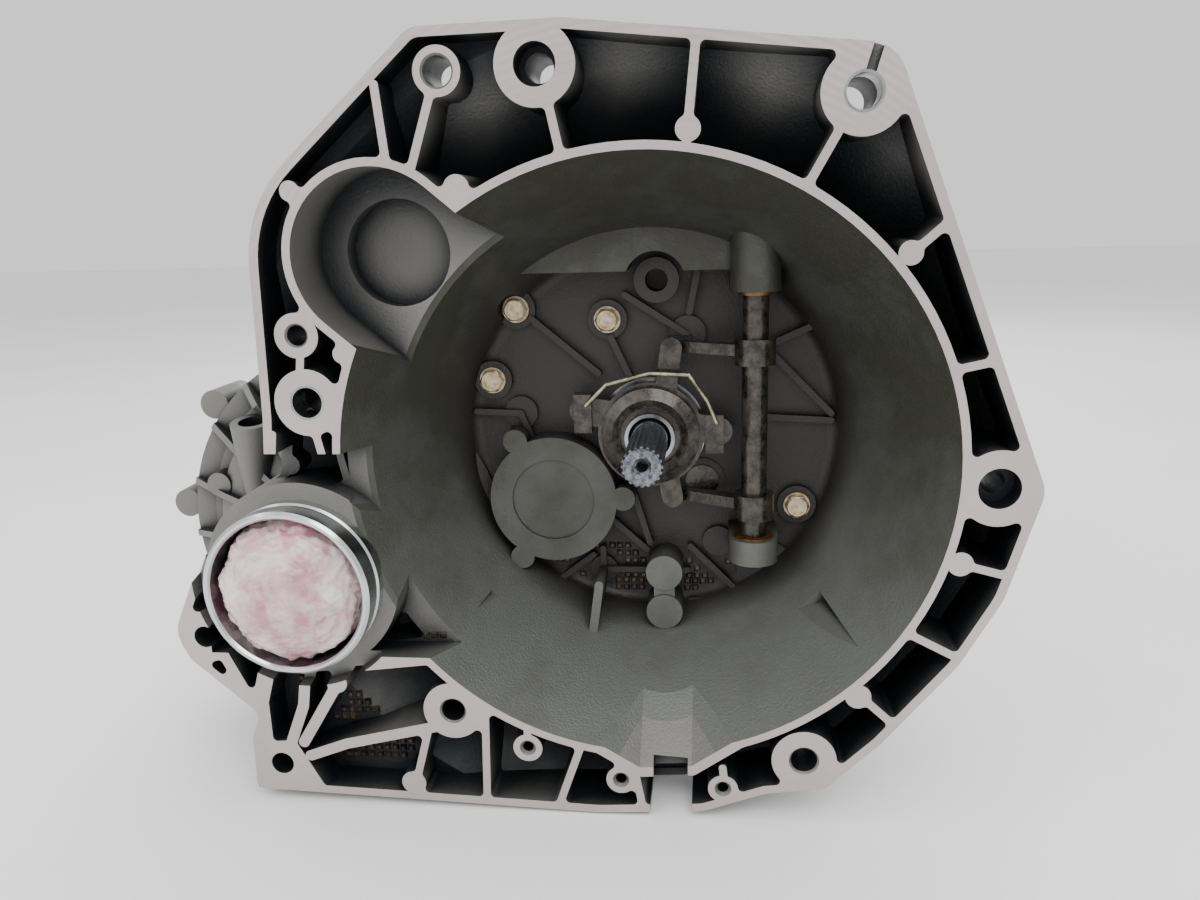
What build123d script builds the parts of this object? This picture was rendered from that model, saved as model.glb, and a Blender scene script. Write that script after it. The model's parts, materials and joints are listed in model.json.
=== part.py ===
from build123d import *
import math
import os

# Front-wheel-drive manual transmission, in millimetres.
# Origin: input shaft axis at the engine-side mating face. +Y runs into the gearbox, away from the
# engine, +Z is up and +X is to the right for someone who looks into the bell from the engine side.

# ---------------------------------------------------------------- driving dimensions
BELL_R = 150.0            # clutch bell mouth radius
FLOOR_R = 104.0           # bell radius where it meets the floor
FLOOR_Y = 97.0            # depth of the bell floor
FLOOR_T = 8.0             # floor thickness
SPLIT_Y = 130.0           # joint face between bell housing and gear case
WALL_Y = 272.0            # inside face of the gear case end wall
CASE_END_Y = 290.0        # joint face between gear case and end cover
COVER_END_Y = 364.0       # outside of the end cover
WALL_T = 5.0              # general casting wall
FLANGE_T = 12.0           # thickness of the joint flanges
RIM_W = 4.5               # flange rim width around the pockets
RING_W = 4.0              # width of the wall around the bell mouth
RIB_W = 4.0               # width of the flange ribs

OUT_X, OUT_Z = -57.0, -38.0       # output shaft axis
DIFF_X, DIFF_Z = -180.0, -60.0    # differential axis
SHAFT_GAP = 0.05                  # radial running clearance
PART_GAP = 0.3                    # clearance between pieces that move past each other
TOUCH_GAP = 0.02                  # clearance of a close seat

# gear teeth: drive and driven numbers, first to fifth
DRIVE_TEETH = [12, 18, 23, 27, 31]
DRIVEN_TEETH = [44, 38, 33, 29, 25]
REVERSE_TEETH = [13, 22, 37]      # pinion, idler, reverse gear
REVERSE_MODULE = 2.4
PINION_TEETH, RING_TEETH = 15, 57
SIDE_TEETH, PLANET_TEETH = 16, 11
BACKLASH = 0.12                   # taken from each tooth flank
UNDERCUT = 0.6                    # slope of a flank below the base circle, in radians per radius
GEAR_W = 14.0                     # tooth width of the speed gears
REVERSE_W = 12.0
DOG_W = 3.0                       # width of the dog ring on a gear
CONE_W = 5.0                      # width of the synchroniser cone
HUB_W = 12.0                      # width of a synchroniser hub
PAIR_GAP = 30.0                   # between the teeth of two gears that share a sleeve
FIRST_Y = 150.0                   # first gear starts here
THIRD_Y = 212.0
REVERSE_Y = 296.0
RING_Y, RING_FACE_W = 118.0, 28.0

INPUT_R = 12.5                    # input shaft at its bearings
INPUT_NECK_R = 11.5               # input shaft between its smallest gears
INPUT_BODY_R = 14.5
SPLINE_R = 10.5
OUTPUT_R = 15.0                   # output shaft at its bearings
GEAR_SEAT_R = 18.0                # output shaft under the free gears
DIFF_JOURNAL_R = 20.0
SMALL_BEARING_R = 26.0            # outer radius, input shaft bearings
OUTPUT_BEARING_R = 31.0
DIFF_BEARING_R = 40.0
COLLAR_R, COLLAR_BORE_R = 44.0, 40.0
HUB_R = 53.0                      # cast hub around the collar
SLEEVE_R, SLEEVE_BORE_R = 40.0, 35.2
SLEEVE_W = 16.0
SLEEVE_TRAVEL = 6.5
FORK_GROOVE_R, FORK_GROOVE_W = 36.6, 6.6
SPLINE_COUNT = 24                 # sleeve splines
DOG_R, CONE_R = 33.2, 28.5        # dog ring and synchroniser cone

RELEASE_X, RELEASE_Y = 57.5, 70.0
RELEASE_R = 7.0
BOLT_R = 4.0                      # M8 case bolts
BOLT_HEAD_R, BOLT_HEAD_H = 7.5, 6.0

CENTRE = math.hypot(OUT_X, OUT_Z)
MODULE = 2 * CENTRE / (DRIVE_TEETH[0] + DRIVEN_TEETH[0])
FINAL_CENTRE = math.hypot(DIFF_X - OUT_X, DIFF_Z - OUT_Z)
FINAL_MODULE = 2 * FINAL_CENTRE / (PINION_TEETH + RING_TEETH)
OUT_ANGLE = math.degrees(math.atan2(OUT_Z, OUT_X))
DIFF_ANGLE = math.degrees(math.atan2(DIFF_Z - OUT_Z, DIFF_X - OUT_X))


# ---------------------------------------------------------------- helpers
def slab(face, y0, y1):
    """A face drawn in X and Z, carried from y0 to y1 along Y."""
    return Pos(0, y1, 0) * (Plane.XZ * extrude(face, y1 - y0))


def disc(x, z, r):
    return Pos(x, z) * Circle(r)


def rod(x, z, r, y0, y1):
    """Cylinder along Y."""
    return Pos(x, (y0 + y1) / 2, z) * Rot(90, 0, 0) * Cylinder(r, y1 - y0)


def cone(x, z, r0, r1, y0, y1):
    """Cone along Y, of radius r0 at y0 and r1 at y1."""
    return Pos(x, (y0 + y1) / 2, z) * Rot(-90, 0, 0) * Cone(r0, r1, y1 - y0)


def tube(x, z, r, bore, y0, y1):
    return rod(x, z, r, y0, y1) - rod(x, z, bore, y0 - 1, y1 + 1)


def post(x, y, r, z0, z1):
    """Cylinder along Z."""
    return Pos(x, y, (z0 + z1) / 2) * Cylinder(r, z1 - z0)


def along_x(spot, r, x0, x1):
    """Cylinder along X at the given (y, z)."""
    return Pos((x0 + x1) / 2, spot[0], spot[1]) * Rot(0, 90, 0) * Cylinder(r, x1 - x0)


def block(x0, x1, y0, y1, z0, z1):
    return Pos((x0 + x1) / 2, (y0 + y1) / 2, (z0 + z1) / 2) * Box(x1 - x0, y1 - y0, z1 - z0)


def bar(a, b, width):
    """Flat strip with round ends from point a to point b."""
    length = math.hypot(b[0] - a[0], b[1] - a[1])
    angle = math.degrees(math.atan2(b[1] - a[1], b[0] - a[0]))
    middle = Pos((a[0] + b[0]) / 2, (a[1] + b[1]) / 2)
    return middle * Rot(0, 0, angle) * SlotCenterToCenter(length, width)


def hull(circles, grow=0.0):
    """Face inside a belt stretched around circles given as (x, z, r)."""
    return make_hull([disc(x, z, r + grow).edge() for x, z, r in circles])


def turned(x, z, profile):
    """Solid turned about an axis along Y; the profile lists (radius, y)."""
    face = make_face(Polyline([(r, y, 0) for r, y in profile], close=True))
    return Pos(x, 0, z) * revolve(face, Axis.Y)


def around(count, radius, start=0.0):
    """Points on a circle, as (x, z) offsets with their angle."""
    for i in range(count):
        angle = start + 360 * i / count
        yield radius * math.cos(math.radians(angle)), radius * math.sin(math.radians(angle)), angle


def save(name, shape):
    shape.label = name
    export_step(shape, f"parts/{name}.step")


def group(solids):
    return Compound(children=list(solids))


# ---------------------------------------------------------------- flange outline and its features
# Corners of the mating flange as (x, z, corner radius)
FLANGE_CORNERS = [
    (-216, -181.5, 4), (-130, -184, 60), (-25, -187.5, 60), (30, -184, 20), (62, -172, 12), (92, -168, 8),
    (119, -141, 30), (154, -97, 40), (173, -62, 40), (188, -8, 16), (112, 189, 18), (-31, 206, 40),
    (-99, 205.5, 12), (-185, 131, 65), (-188, 29, 4), (-191, -6, 6), (-222, -25, 20), (-251, -88, 14),
    (-245, -104, 10), (-209, -136, 8), (-215, -150, 4),
]
# Bolt bosses on the mating face: x, z, boss radius, hole radius, boss depth
FLANGE_BOSSES = [
    (-87.7, 186.5, 11.0, 6.7, 33), (-43.3, 187.5, 18.3, 6.6, 54), (99.4, 170.4, 18.6, 7.6, 54),
    (167.3, -6.5, 18.5, 5.5, 40), (81.3, -152.0, 16.4, 6.7, 40), (-101.5, -130.1, 15.9, 6.2, 40),
    (-166.1, 69.3, 11.1, 5.0, 30), (-164.1, 36.1, 16.8, 7.6, 45),
]
COUNTERBORES = [(-43.3, 187.5, 9.5, 14), (167.3, -6.5, 9.8, 12)]      # x, z, radius, depth
DOWEL_R, DOWEL_WALL = 7.6, 1.2
DOWEL_SPOTS = [(99.4, 170.4), (-164.1, 36.1)]
SIDE_BOSS = (-234.8, -91.0, 14.5, 6.0)
CORNER_BOSS = [(-215.5, -153.0), (-191.0, -151.0), (-175.0, -181.5), (-216.0, -181.5)]
CORNER_HOLE = (-199.7, -165.3, 6.3)
SMALL_BOSSES = [(-62.2, -150.4), (-13.1, -167.3), (40.2, -170.2)]     # cover plate screw bosses
SMALL_BOSS_R, SMALL_HOLE_R, SMALL_CHAMFER_R = 7.8, 2.8, 4.4
# Ribs between the rim and the bell mouth wall, each from one (x, z) to the other
FLANGE_RIBS = [
    ((-114, 146), (-117, 182)), ((-103, 144), (-91, 178)), ((-33, 148), (-38, 172)), ((23, 150), (28, 198)),
    ((74, 128), (91, 158)), ((118, 98), (142, 119)), ((142, 49), (165, 54)), ((148, -43), (175, -50)),
    ((127, -79), (156, -94)), ((104, -111), (126, -131)), ((-33, -146), (-47, -185)),
    ((-84, -128), (-86, -184)), ((-116, -143), (-127, -182)), ((-6, -160), (-1, -188)),
    ((40, -158), (42, -176)), ((-165, 60), (-167, 45)), ((-162, 24), (-155, -12)), ((-184, 20), (-187, 0)),
    ((-62, -135), (-62, -150)),
]
# Heavier ribs that spread from the collar hub to the corner boss
HUB_RIBS = [
    ((-201, -105), (-208, -128), 9), ((-208, -128), (-208, -155), 9), ((-180, -105), (-184, -130), 6),
    ((-184, -130), (-193, -152), 6), ((-156, -104), (-186, -152), 6), ((-158, -106), (-110, -100), 7),
    ((-183, -160), (-162, -152), 6), ((-162, -152), (-112, -140), 6), ((-228, -96), (-208, -140), 6),
]
EJECTOR_PADS = [
    (-162, 137, 4.8), (-82, 136, 6.1), (24, 158, 5.7), (122, 102, 5.5), (-144, 60, 4.6), (-186, -1, 5.3),
    (152, -44, 6.0), (107, -115, 6.4), (-126, -174, 6.7), (-164, -116, 5.6),
]
STARTER_X, STARTER_Z, STARTER_R = -124.0, 106.0, 41.0
STARTER_DEPTH, STARTER_STEP_R, STARTER_STEP_DEPTH = 38.0, 27.0, 50.0
MOUTH_CORNERS = [(-106, -98), (-3, -161), (24, -159), (112, -97.5)]   # flat-sided foot of the bell mouth
NOTCH_X = (2.0, 24.0)                                                 # drain notch in the flange foot
SETBACK_Y = 20.0          # the wall beside the collar hub stands this far back from the mating face
HUB_FACE_Y = 7.0
POCKET_CORNER_R = 2.5
SMALLEST_POCKET = 65.0    # square millimetres; smaller gaps are cast solid

# ---------------------------------------------------------------- bell floor features
OIL_HOLE = (4.0, 86.0, 6.3, 12.5)
CAP_FACE_Y, CAP_R, CAP_RECESS_R = 80.0, 37.0, 24.0
RAIL_X = 7.0
RAIL_Z = [-80.0, -104.0, -128.0]       # first-second, third-fourth, fifth-reverse
RAIL_R = 7.0
RAIL_BOSS_R, RAIL_BOSS_Y = 10.5, 74.0
FLOOR_BOLTS = [(-76.0, 71.0), (-24.0, 64.5), (-91.6, 30.5), (83.0, -43.8)]
FLOOR_BOLT_Y = 93.0                    # seat of the bolt heads
SLOT_PLUG = (28.7, -30.5, 9.5)
SLOT_PLUG_Y = 95.0
FLOOR_RIBS = [
    ((-68, 66), (-30, 34)), ((-24, 58), (-12, 32)), ((-14, 78), (20, 56)),
    ((28, 98), (22, 68)), ((66, 49), (98, 63)), ((66, 46), (101, 10)), ((66, 8), (101, 6)),
    ((-102, 12), (-76, 11)), ((-76, 11), (-70, -4)), ((22, -70), (56, -104)), ((22, -104), (55, -104)),
    ((-60, -109), (-8, -110)), ((-8, -110), (60, -113)), ((-62, -96), (-36, -76)), ((-12, -34), (-2, -68)),
    ((-30, -72), (-30, -88)), ((-8, -85), (20, -85)), ((-28, -85), (-6, -85)), ((-26, -52), (-4, -72)),
]
SENSOR_BOSS = (-238.0, 86.0, 8.0)      # top of the speed sensor boss on the ring gear bulge
SENSOR_BOSS_R, SENSOR_HOLE_R = 13.0, 8.3
BULGE_RIB_ANGLES = [128, 146, 166, 184, 202]
BULGE_PADS = [(-267.0, -33.0, 7.5), (-246.0, -42.0, 6.0), (-262.0, -96.0, 8.0)]
FLOOR_PADS = [(-76, 11, 9.5), (21, 56, 10.0), (38, -67, 9.0), (66, -84, 17.0), (-30, -85, 8.0)]


def poly(points):
    return make_face(Polyline([(x, z, 0) for x, z in points], close=True))


def rounded(corners):
    """Closed outline whose corners have their own radii."""
    face = poly([(x, z) for x, z, _ in corners])
    for x, z, r in corners:
        corner = face.vertices().sort_by_distance((x, z, 0))[0]
        face = fillet(corner, r)
    return face


def flange_outline():
    face = rounded(FLANGE_CORNERS)
    for x, z, r, _, _ in FLANGE_BOSSES:
        face += disc(x, z, r)
    face += disc(SIDE_BOSS[0], SIDE_BOSS[1], SIDE_BOSS[2])
    return face + disc(DIFF_X, DIFF_Z, HUB_R)


def starter_face(grow=0.0):
    """Starter pocket: round outside, open towards the bell."""
    reach = STARTER_R + grow
    face = disc(STARTER_X, STARTER_Z, reach)
    away = math.degrees(math.atan2(-STARTER_Z, -STARTER_X))
    return face + Pos(STARTER_X, STARTER_Z) * Rot(0, 0, away) * Pos(35, 0) * Rectangle(70, 2 * reach)


def mouth_face(grow=0.0):
    """Bell mouth at the mating face."""
    foot = poly([(0, 0)] + MOUTH_CORNERS)
    if grow:
        foot = offset(foot, grow)
    return disc(0, 0, BELL_R + grow) + foot + starter_face(grow)


def flange_ribs():
    face = Sketch()
    for a, b in FLANGE_RIBS:
        face += bar(a, b, RIB_W)
    for a, b, width in HUB_RIBS:
        face += bar(a, b, width)
    for x, z, r in EJECTOR_PADS:
        face += disc(x, z, r)
    for x, z in SMALL_BOSSES:
        face += disc(x, z, SMALL_BOSS_R)
    for x, z, r, _, _ in FLANGE_BOSSES:
        face += disc(x, z, r)
    face += disc(SIDE_BOSS[0], SIDE_BOSS[1], SIDE_BOSS[2])
    face += disc(DIFF_X, DIFF_Z, HUB_R)
    return face + poly(CORNER_BOSS)


def open_corners(face, reach):
    """Corners of a face with room for a fillet on both of their edges."""
    corners = []
    for corner in face.vertices():
        point = Vector(*corner)
        sides = [edge for edge in face.edges() if edge.distance_to(point) < 1e-4]
        if len(sides) != 2 or min(edge.length for edge in sides) < reach:
            continue
        slopes = [edge.tangent_at(edge.param_at_point(point)) for edge in sides]
        if 0.35 < abs(slopes[0].cross(slopes[1]).length):
            corners.append(corner)
    return corners


def flange_pockets(outline):
    """Rounded openings between rim, ribs, bosses and the bell mouth wall."""
    rim = offset(outline, -RIM_W)
    open_area = rim - mouth_face(RING_W) - flange_ribs()
    pockets = []
    for face in open_area.faces():
        if face.area < SMALLEST_POCKET:
            continue
        corners = open_corners(face, 3 * POCKET_CORNER_R)
        pockets.append(face.fillet_2d(POCKET_CORNER_R, corners) if corners else face)
    return pockets


# ---------------------------------------------------------------- casing
RIM_DEPTH = 20.0          # depth of the flange rim
POCKET_DEPTH = 50.0       # pocket depth beside the bell wall
SKIN = 5.0                # pocket floor thickness
BELL_WALL = 6.0
BULGE_R, BULGE_WALL = 106.0, 5.0      # room for the ring gear
DIFF_CASE_ROOM_R = 84.0
BARREL_INNER_R = 99.0     # gear space behind the bell floor
CASE_CIRCLES = [(DIFF_X, DIFF_Z, BULGE_R), (0, 0, BARREL_INNER_R), (RAIL_X, RAIL_Z[2], 17)]
MAIN_CIRCLES = [(OUT_X, OUT_Z, 64), (0, 0, 46), (46, 22, 18), (44, -100, 18), (RAIL_X, RAIL_Z[2], 17)]
COVER_CIRCLES = [(OUT_X, OUT_Z, 54), (0, 0, 46), (14, -40, 34), (RAIL_X, RAIL_Z[2], 17)]
BOLT_BOSS_R = 9.0
SEAL_SEAT_R = 20.0
RELEASE_TOP_Z, RELEASE_FOOT_Z = 81.0, -55.0
RELEASE_BOSS_R = 13.5


def along_hull(circles, grow, count):
    """Evenly spaced points on the belt line around circles."""
    belt = hull(circles, grow).face().outer_wire()
    for i in range(count):
        point = belt.position_at(i / count)
        yield point.X, point.Y


CASE_BOLTS = list(along_hull(CASE_CIRCLES, WALL_T + BOLT_BOSS_R - 2, 16))
COVER_BOLTS = list(along_hull(COVER_CIRCLES, WALL_T + BOLT_BOSS_R - 3, 10))


def flange_zone(back):
    """Room in front of the flare that joins the flange to the bell."""
    near, far = POCKET_DEPTH + back, RIM_DEPTH + back
    profile = [(0, -2), (0, near), (156 + back, near), (208 + back, far), (330, far), (330, -2)]
    return turned(0, 0, profile)


def bell_cavity():
    """Everything the flywheel and clutch need inside the bell."""
    room = turned(0, 0, [(0, -2), (BELL_R, -2), (BELL_R, 0), (FLOOR_R, FLOOR_Y), (0, FLOOR_Y)])
    room = fillet(room.edges().sort_by(Axis.Y)[-1], 7)
    foot = poly([(0, 0)] + MOUTH_CORNERS)
    inner = poly([(0, 0), (-92, -86), (-3, -118), (24, -116), (98, -86)])
    room += loft([Plane.XZ.offset(2) * foot, Plane.XZ.offset(-56) * inner], ruled=True)
    return room + slab(starter_face(), -2, STARTER_DEPTH)


def bell_outside():
    """Outer shape of the bell housing without its pockets."""
    outline = flange_outline()
    body = slab(outline, 0, POCKET_DEPTH + SKIN) & flange_zone(SKIN)
    foot_r = FLOOR_R + BELL_WALL + 4
    back_r = BARREL_INNER_R + WALL_T
    body += turned(0, 0, [(0, 2), (BELL_R + BELL_WALL, 2), (foot_r, FLOOR_Y), (back_r, 118),
                          (back_r, SPLIT_Y), (0, SPLIT_Y)])
    body += slab(starter_face(RING_W + 2), 1, STARTER_STEP_DEPTH + SKIN)
    body += slab(hull(CASE_CIRCLES, WALL_T), 104, SPLIT_Y)
    body += [rod(x, z, BOLT_BOSS_R, SPLIT_Y - 24, SPLIT_Y) for x, z in CASE_BOLTS]
    body += [slab(bar(a, b, width), 6, 40) for a, b, width in HUB_RIBS]
    body += [rod(x, z, r, 1, depth) for x, z, r, _, depth in FLANGE_BOSSES]
    body += [rod(x, z, SMALL_BOSS_R, 1, 24) for x, z in SMALL_BOSSES]
    body += rod(SIDE_BOSS[0], SIDE_BOSS[1], SIDE_BOSS[2], 2, 60)
    body += slab(poly(CORNER_BOSS), 1, 40)
    body += post(RELEASE_X, RELEASE_Y, 15, 80, 128)
    return body + rod(DIFF_X, DIFF_Z, HUB_R, 1, 90)


def bulge_shell(grow):
    """Bulge around the ring gear and the differential case, with the hub for the collar."""
    reach = BULGE_R + grow
    case_room = DIFF_CASE_ROOM_R + grow
    profile = [(0, HUB_FACE_Y), (HUB_R, HUB_FACE_Y), (HUB_R, 84 - grow), (case_room, 99 - grow),
               (case_room, 106 - grow), (reach, 113 - grow), (reach, SPLIT_Y), (0, SPLIT_Y)]
    return turned(DIFF_X, DIFF_Z, profile)


def bulge_features():
    """Ribs, cast pads and the speed sensor boss on the outside of the bulge."""
    near = BULGE_R + BULGE_WALL
    fins = turned(DIFF_X, DIFF_Z, [(HUB_R, 76), (DIFF_CASE_ROOM_R + 2, 88), (near, 101), (near, SPLIT_Y - 4),
                                   (HUB_R, 110)])
    body = Pos(*SENSOR_BOSS) * Rot(10, 0, 0) * Pos(0, 0, -30) * Cylinder(SENSOR_BOSS_R, 60)
    for angle in BULGE_RIB_ANGLES:
        strip = Pos(DIFF_X, DIFF_Z) * Rot(0, 0, angle) * Pos(BULGE_R - 20, 0) * Rectangle(60, RIB_W)
        body += slab(strip, 70, SPLIT_Y) & fins
    for x, z, r in BULGE_PADS:
        body += rod(x, z, r, 91, 112)
    return body


def bulge_room():
    """Bore of the collar hub, its bearing seat and the ring gear space."""
    profile = [(0, HUB_FACE_Y - 2), (COLLAR_R, HUB_FACE_Y - 2), (COLLAR_R, 42), (36, 42), (36, 86),
               (DIFF_BEARING_R, 86), (DIFF_BEARING_R, 99), (DIFF_CASE_ROOM_R, 99), (DIFF_CASE_ROOM_R, 106),
               (BULGE_R, 113), (BULGE_R, SPLIT_Y + 2), (0, SPLIT_Y + 2)]
    return turned(DIFF_X, DIFF_Z, profile)


def floor_features():
    """Raised shelf, bosses, ribs and pads on the bell floor."""
    shelf = slab(disc(0, 0, FLOOR_R + 12) & Pos(0, 140) * Rectangle(180, 96), 74, FLOOR_Y + 2)
    shelf -= slab(disc(OIL_HOLE[0], OIL_HOLE[1], OIL_HOLE[3] + 4), 70, FLOOR_Y)
    body = shelf + rod(OUT_X, OUT_Z, CAP_R, CAP_FACE_Y, FLOOR_Y + 3)
    for x, z, _ in around(3, CAP_R + 3.5, 1):
        body += rod(OUT_X + x, OUT_Z + z, 7, CAP_FACE_Y, FLOOR_Y + 3)
    for a, b in FLOOR_RIBS:
        body += slab(bar(a, b, 3.5), 92, FLOOR_Y + 2)
    for x, z, r in FLOOR_PADS:
        body += rod(x, z, r, 94, FLOOR_Y + 2)
    for x, z in FLOOR_BOLTS:
        body += rod(x, z, 11, FLOOR_BOLT_Y, FLOOR_Y + 2)
    for z in RAIL_Z:
        body += rod(RAIL_X, z, RAIL_BOSS_R, RAIL_BOSS_Y, FLOOR_Y + 20)
    body += slab(bar((RAIL_X, RAIL_Z[0]), (RAIL_X, RAIL_Z[2]), 12), RAIL_BOSS_Y + 1, FLOOR_Y + 3)
    body += slab(bar((-30, -85), (-36, -126), 5), 66, FLOOR_Y + 2)
    body += rod(OIL_HOLE[0], OIL_HOLE[1], OIL_HOLE[3], 90, FLOOR_Y + 2)
    body += rod(SLOT_PLUG[0], SLOT_PLUG[1], SLOT_PLUG[2] + 4, SLOT_PLUG_Y + 1, FLOOR_Y + 2)
    return body


def release_supports():
    """Upper bush boss in the shelf and the lower boss of the release shaft."""
    left, right = RELEASE_X - RELEASE_BOSS_R, RELEASE_X + RELEASE_BOSS_R
    foot_z = RELEASE_FOOT_Z - 14
    body = post(RELEASE_X, RELEASE_Y, RELEASE_BOSS_R, RELEASE_TOP_Z, 122)
    body += post(RELEASE_X, RELEASE_Y, RELEASE_BOSS_R, foot_z, RELEASE_FOOT_Z)
    body += block(left, right, RELEASE_Y, FLOOR_Y + 2, RELEASE_TOP_Z, 112)
    return body + block(left, right, RELEASE_Y, FLOOR_Y + 2, foot_z, RELEASE_FOOT_Z)


def gear_side_supports():
    """Bearing seats and posts on the gear side of the bell floor."""
    back = FLOOR_Y + FLOOR_T
    body = rod(0, 0, SMALL_BEARING_R + 6, back - 2, 118)
    body += rod(OUT_X, OUT_Z, OUTPUT_BEARING_R + 5, back - 2, back + 1)
    for x, z in FLOOR_BOLTS:
        body += rod(x, z, 8, back - 2, SPLIT_Y)
    for z in RAIL_Z:
        body += rod(RAIL_X, z, RAIL_BOSS_R, back - 2, 118)
    return body


def bell_cuts():
    """Bores and holes of the bell housing."""
    cuts = [rod(0, 0, 16.5, 88, 104), rod(0, 0, SEAL_SEAT_R, 95, 103.5), rod(0, 0, SMALL_BEARING_R, 103, 119)]
    cuts.append(rod(OUT_X, OUT_Z, OUTPUT_BEARING_R, CAP_FACE_Y + 6, 108))
    cuts.append(rod(OUT_X, OUT_Z, CAP_RECESS_R, CAP_FACE_Y - 1, CAP_FACE_Y + 1.2))
    cuts.append(rod(OIL_HOLE[0], OIL_HOLE[1], OIL_HOLE[2], 60, SPLIT_Y))
    cuts += [rod(RAIL_X, z, RAIL_R + SHAFT_GAP, RAIL_BOSS_Y + 4, SPLIT_Y + 1) for z in RAIL_Z]
    cuts += [rod(x, z, BOLT_R + 0.2, 90, SPLIT_Y + 1) for x, z in FLOOR_BOLTS]
    cuts += [rod(x, z, BOLT_HEAD_R + 1.2, 80, FLOOR_BOLT_Y) for x, z in FLOOR_BOLTS]
    cuts += [rod(x, z, GUIDE_SCREW_R, 90, 102) for x, z, _ in around(3, GUIDE_SCREW_PCR, 90)]
    cuts.append(rod(0, 0, GUIDE_FLANGE_R + PART_GAP, 80, FLOOR_Y))
    cuts += [rod(x, z, BOLT_R, SPLIT_Y - 20, SPLIT_Y + 1) for x, z in CASE_BOLTS]
    cuts.append(rod(SLOT_PLUG[0], SLOT_PLUG[1], SLOT_PLUG[2], 90, 110))
    cuts.append(post(RELEASE_X, RELEASE_Y, RELEASE_R + 2, RELEASE_FOOT_Z - 10, 170))
    cuts.append(block(10, 24, 88, 95.2, 44, 55))
    cuts.append(Pos(*SENSOR_BOSS) * Rot(10, 0, 0) * Cylinder(SENSOR_HOLE_R, 36))
    return cuts


def flange_cuts():
    """Holes, dowel seats, groove and notch in the mating face."""
    cuts = []
    for x, z, _, hole, depth in FLANGE_BOSSES:
        cuts.append(rod(x, z, hole, -1, 90))
        cuts.append(cone(x, z, hole + 1, hole, -0.01, 1.0))
    cuts += [rod(x, z, r, -1, depth) for x, z, r, depth in COUNTERBORES]
    cuts += [rod(x, z, DOWEL_R + DOWEL_WALL, -1, 16) for x, z in DOWEL_SPOTS]
    cuts.append(rod(SIDE_BOSS[0], SIDE_BOSS[1], SIDE_BOSS[3], -1, 90))
    cuts.append(rod(CORNER_HOLE[0], CORNER_HOLE[1], CORNER_HOLE[2], -1, 90))
    for x, z in SMALL_BOSSES:
        cuts.append(rod(x, z, SMALL_HOLE_R, -1, 18))
        cuts.append(cone(x, z, SMALL_CHAMFER_R, SMALL_HOLE_R, -0.01, 1.6))
    cuts.append(slab(bar((99.4, 170.4), (108, 200), 4.5), -1, 3))
    cuts.append(block(NOTCH_X[0], NOTCH_X[1], -1, 34, -200, -166))
    cuts.append(block(NOTCH_X[0] + 2, NOTCH_X[1] - 2, -1, 12, -170, -155))
    return cuts


def bell_housing():
    body = bell_outside() - flange_cuts()
    body -= [slab(face, -2, POCKET_DEPTH + 2) & flange_zone(0) for face in flange_pockets(flange_outline())]
    hub = cone(DIFF_X, DIFF_Z, HUB_R - 2.2, HUB_R + 0.8, -3, SETBACK_Y + 1)
    body -= block(-232, -100, -2, SETBACK_Y, -100, 10) - hub
    body -= cone(DIFF_X, DIFF_Z, HUB_R + 5.5, HUB_R + 3.7, -2, HUB_FACE_Y)
    body -= bell_cavity()
    body -= slab(disc(STARTER_X, STARTER_Z, STARTER_STEP_R), 20, STARTER_STEP_DEPTH)
    reach = turned(0, 0, [(0, 40), (170, 40), (170, SPLIT_Y), (0, SPLIT_Y)])
    body += bulge_shell(BULGE_WALL) & (reach + block(-330, -150, -10, SPLIT_Y, -200, 80))
    body += bulge_features()
    bell_room = turned(0, 0, [(0, 0), (BELL_R + 2, 0), (FLOOR_R + 3, FLOOR_Y + 1), (0, FLOOR_Y + 1)])
    body += (floor_features() + release_supports()) & bell_room
    behind = slab(hull(CASE_CIRCLES), FLOOR_Y + FLOOR_T, SPLIT_Y + 1)
    body -= behind + bulge_room()
    body += gear_side_supports() - bulge_room()
    return body - bell_cuts()


# ---------------------------------------------------------------- gear case and end cover
DOME_END_Y = 192.0
DIFF_REAR_HUB_R = 50.0
DIFF_REAR_SEAT_Y = (172.0, 190.0)
DIFF_BODY_R = 60.0
TOWER_R = 24.0
SHIFT_X, SHIFT_Y = 46.0, 200.0
SHIFT_R = 7.0
SHIFT_FOOT_Z = -148.0
CASE_RIB_T = 5.0
DRAIN_SPOT = (-60.0, 182.0)        # x, y of the drain plug, which points down
FILLER_SPOT = (158.0, -45.0)       # y, z of the filler plug, on the side
PLUG_R = 11.0
SWITCH_SPOT = (-85.0, 232.0)       # x, y of the reverse lamp switch
SWITCH_R, PLUNGER_R = 9.0, 3.0
MOUNT_X, MOUNT_Y = (-62.0, -2.0), (165.0, 215.0)
MOUNT_HOLE_R = 5.0
IDLER_SHAFT_R = 8.0


def meeting_point(r_first, r_second, side):
    """Axis that lies at these distances from the input and output shafts."""
    along = (r_first ** 2 - r_second ** 2 + CENTRE ** 2) / (2 * CENTRE)
    across = side * math.sqrt(r_first ** 2 - along ** 2)
    ux, uz = OUT_X / CENTRE, OUT_Z / CENTRE
    return along * ux - across * uz, along * uz + across * ux


IDLER_X, IDLER_Z = meeting_point(REVERSE_MODULE * (REVERSE_TEETH[0] + REVERSE_TEETH[1]) / 2,
                                 REVERSE_MODULE * (REVERSE_TEETH[1] + REVERSE_TEETH[2]) / 2, 1)


def dome(grow):
    """Gear case bulge around the ring gear and the differential case."""
    reach = BULGE_R + grow
    profile = [(0, SPLIT_Y), (reach, SPLIT_Y), (reach, 150 + grow), (70 + grow, 168 + grow), (0, 168 + grow)]
    return turned(DIFF_X, DIFF_Z, profile)


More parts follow.
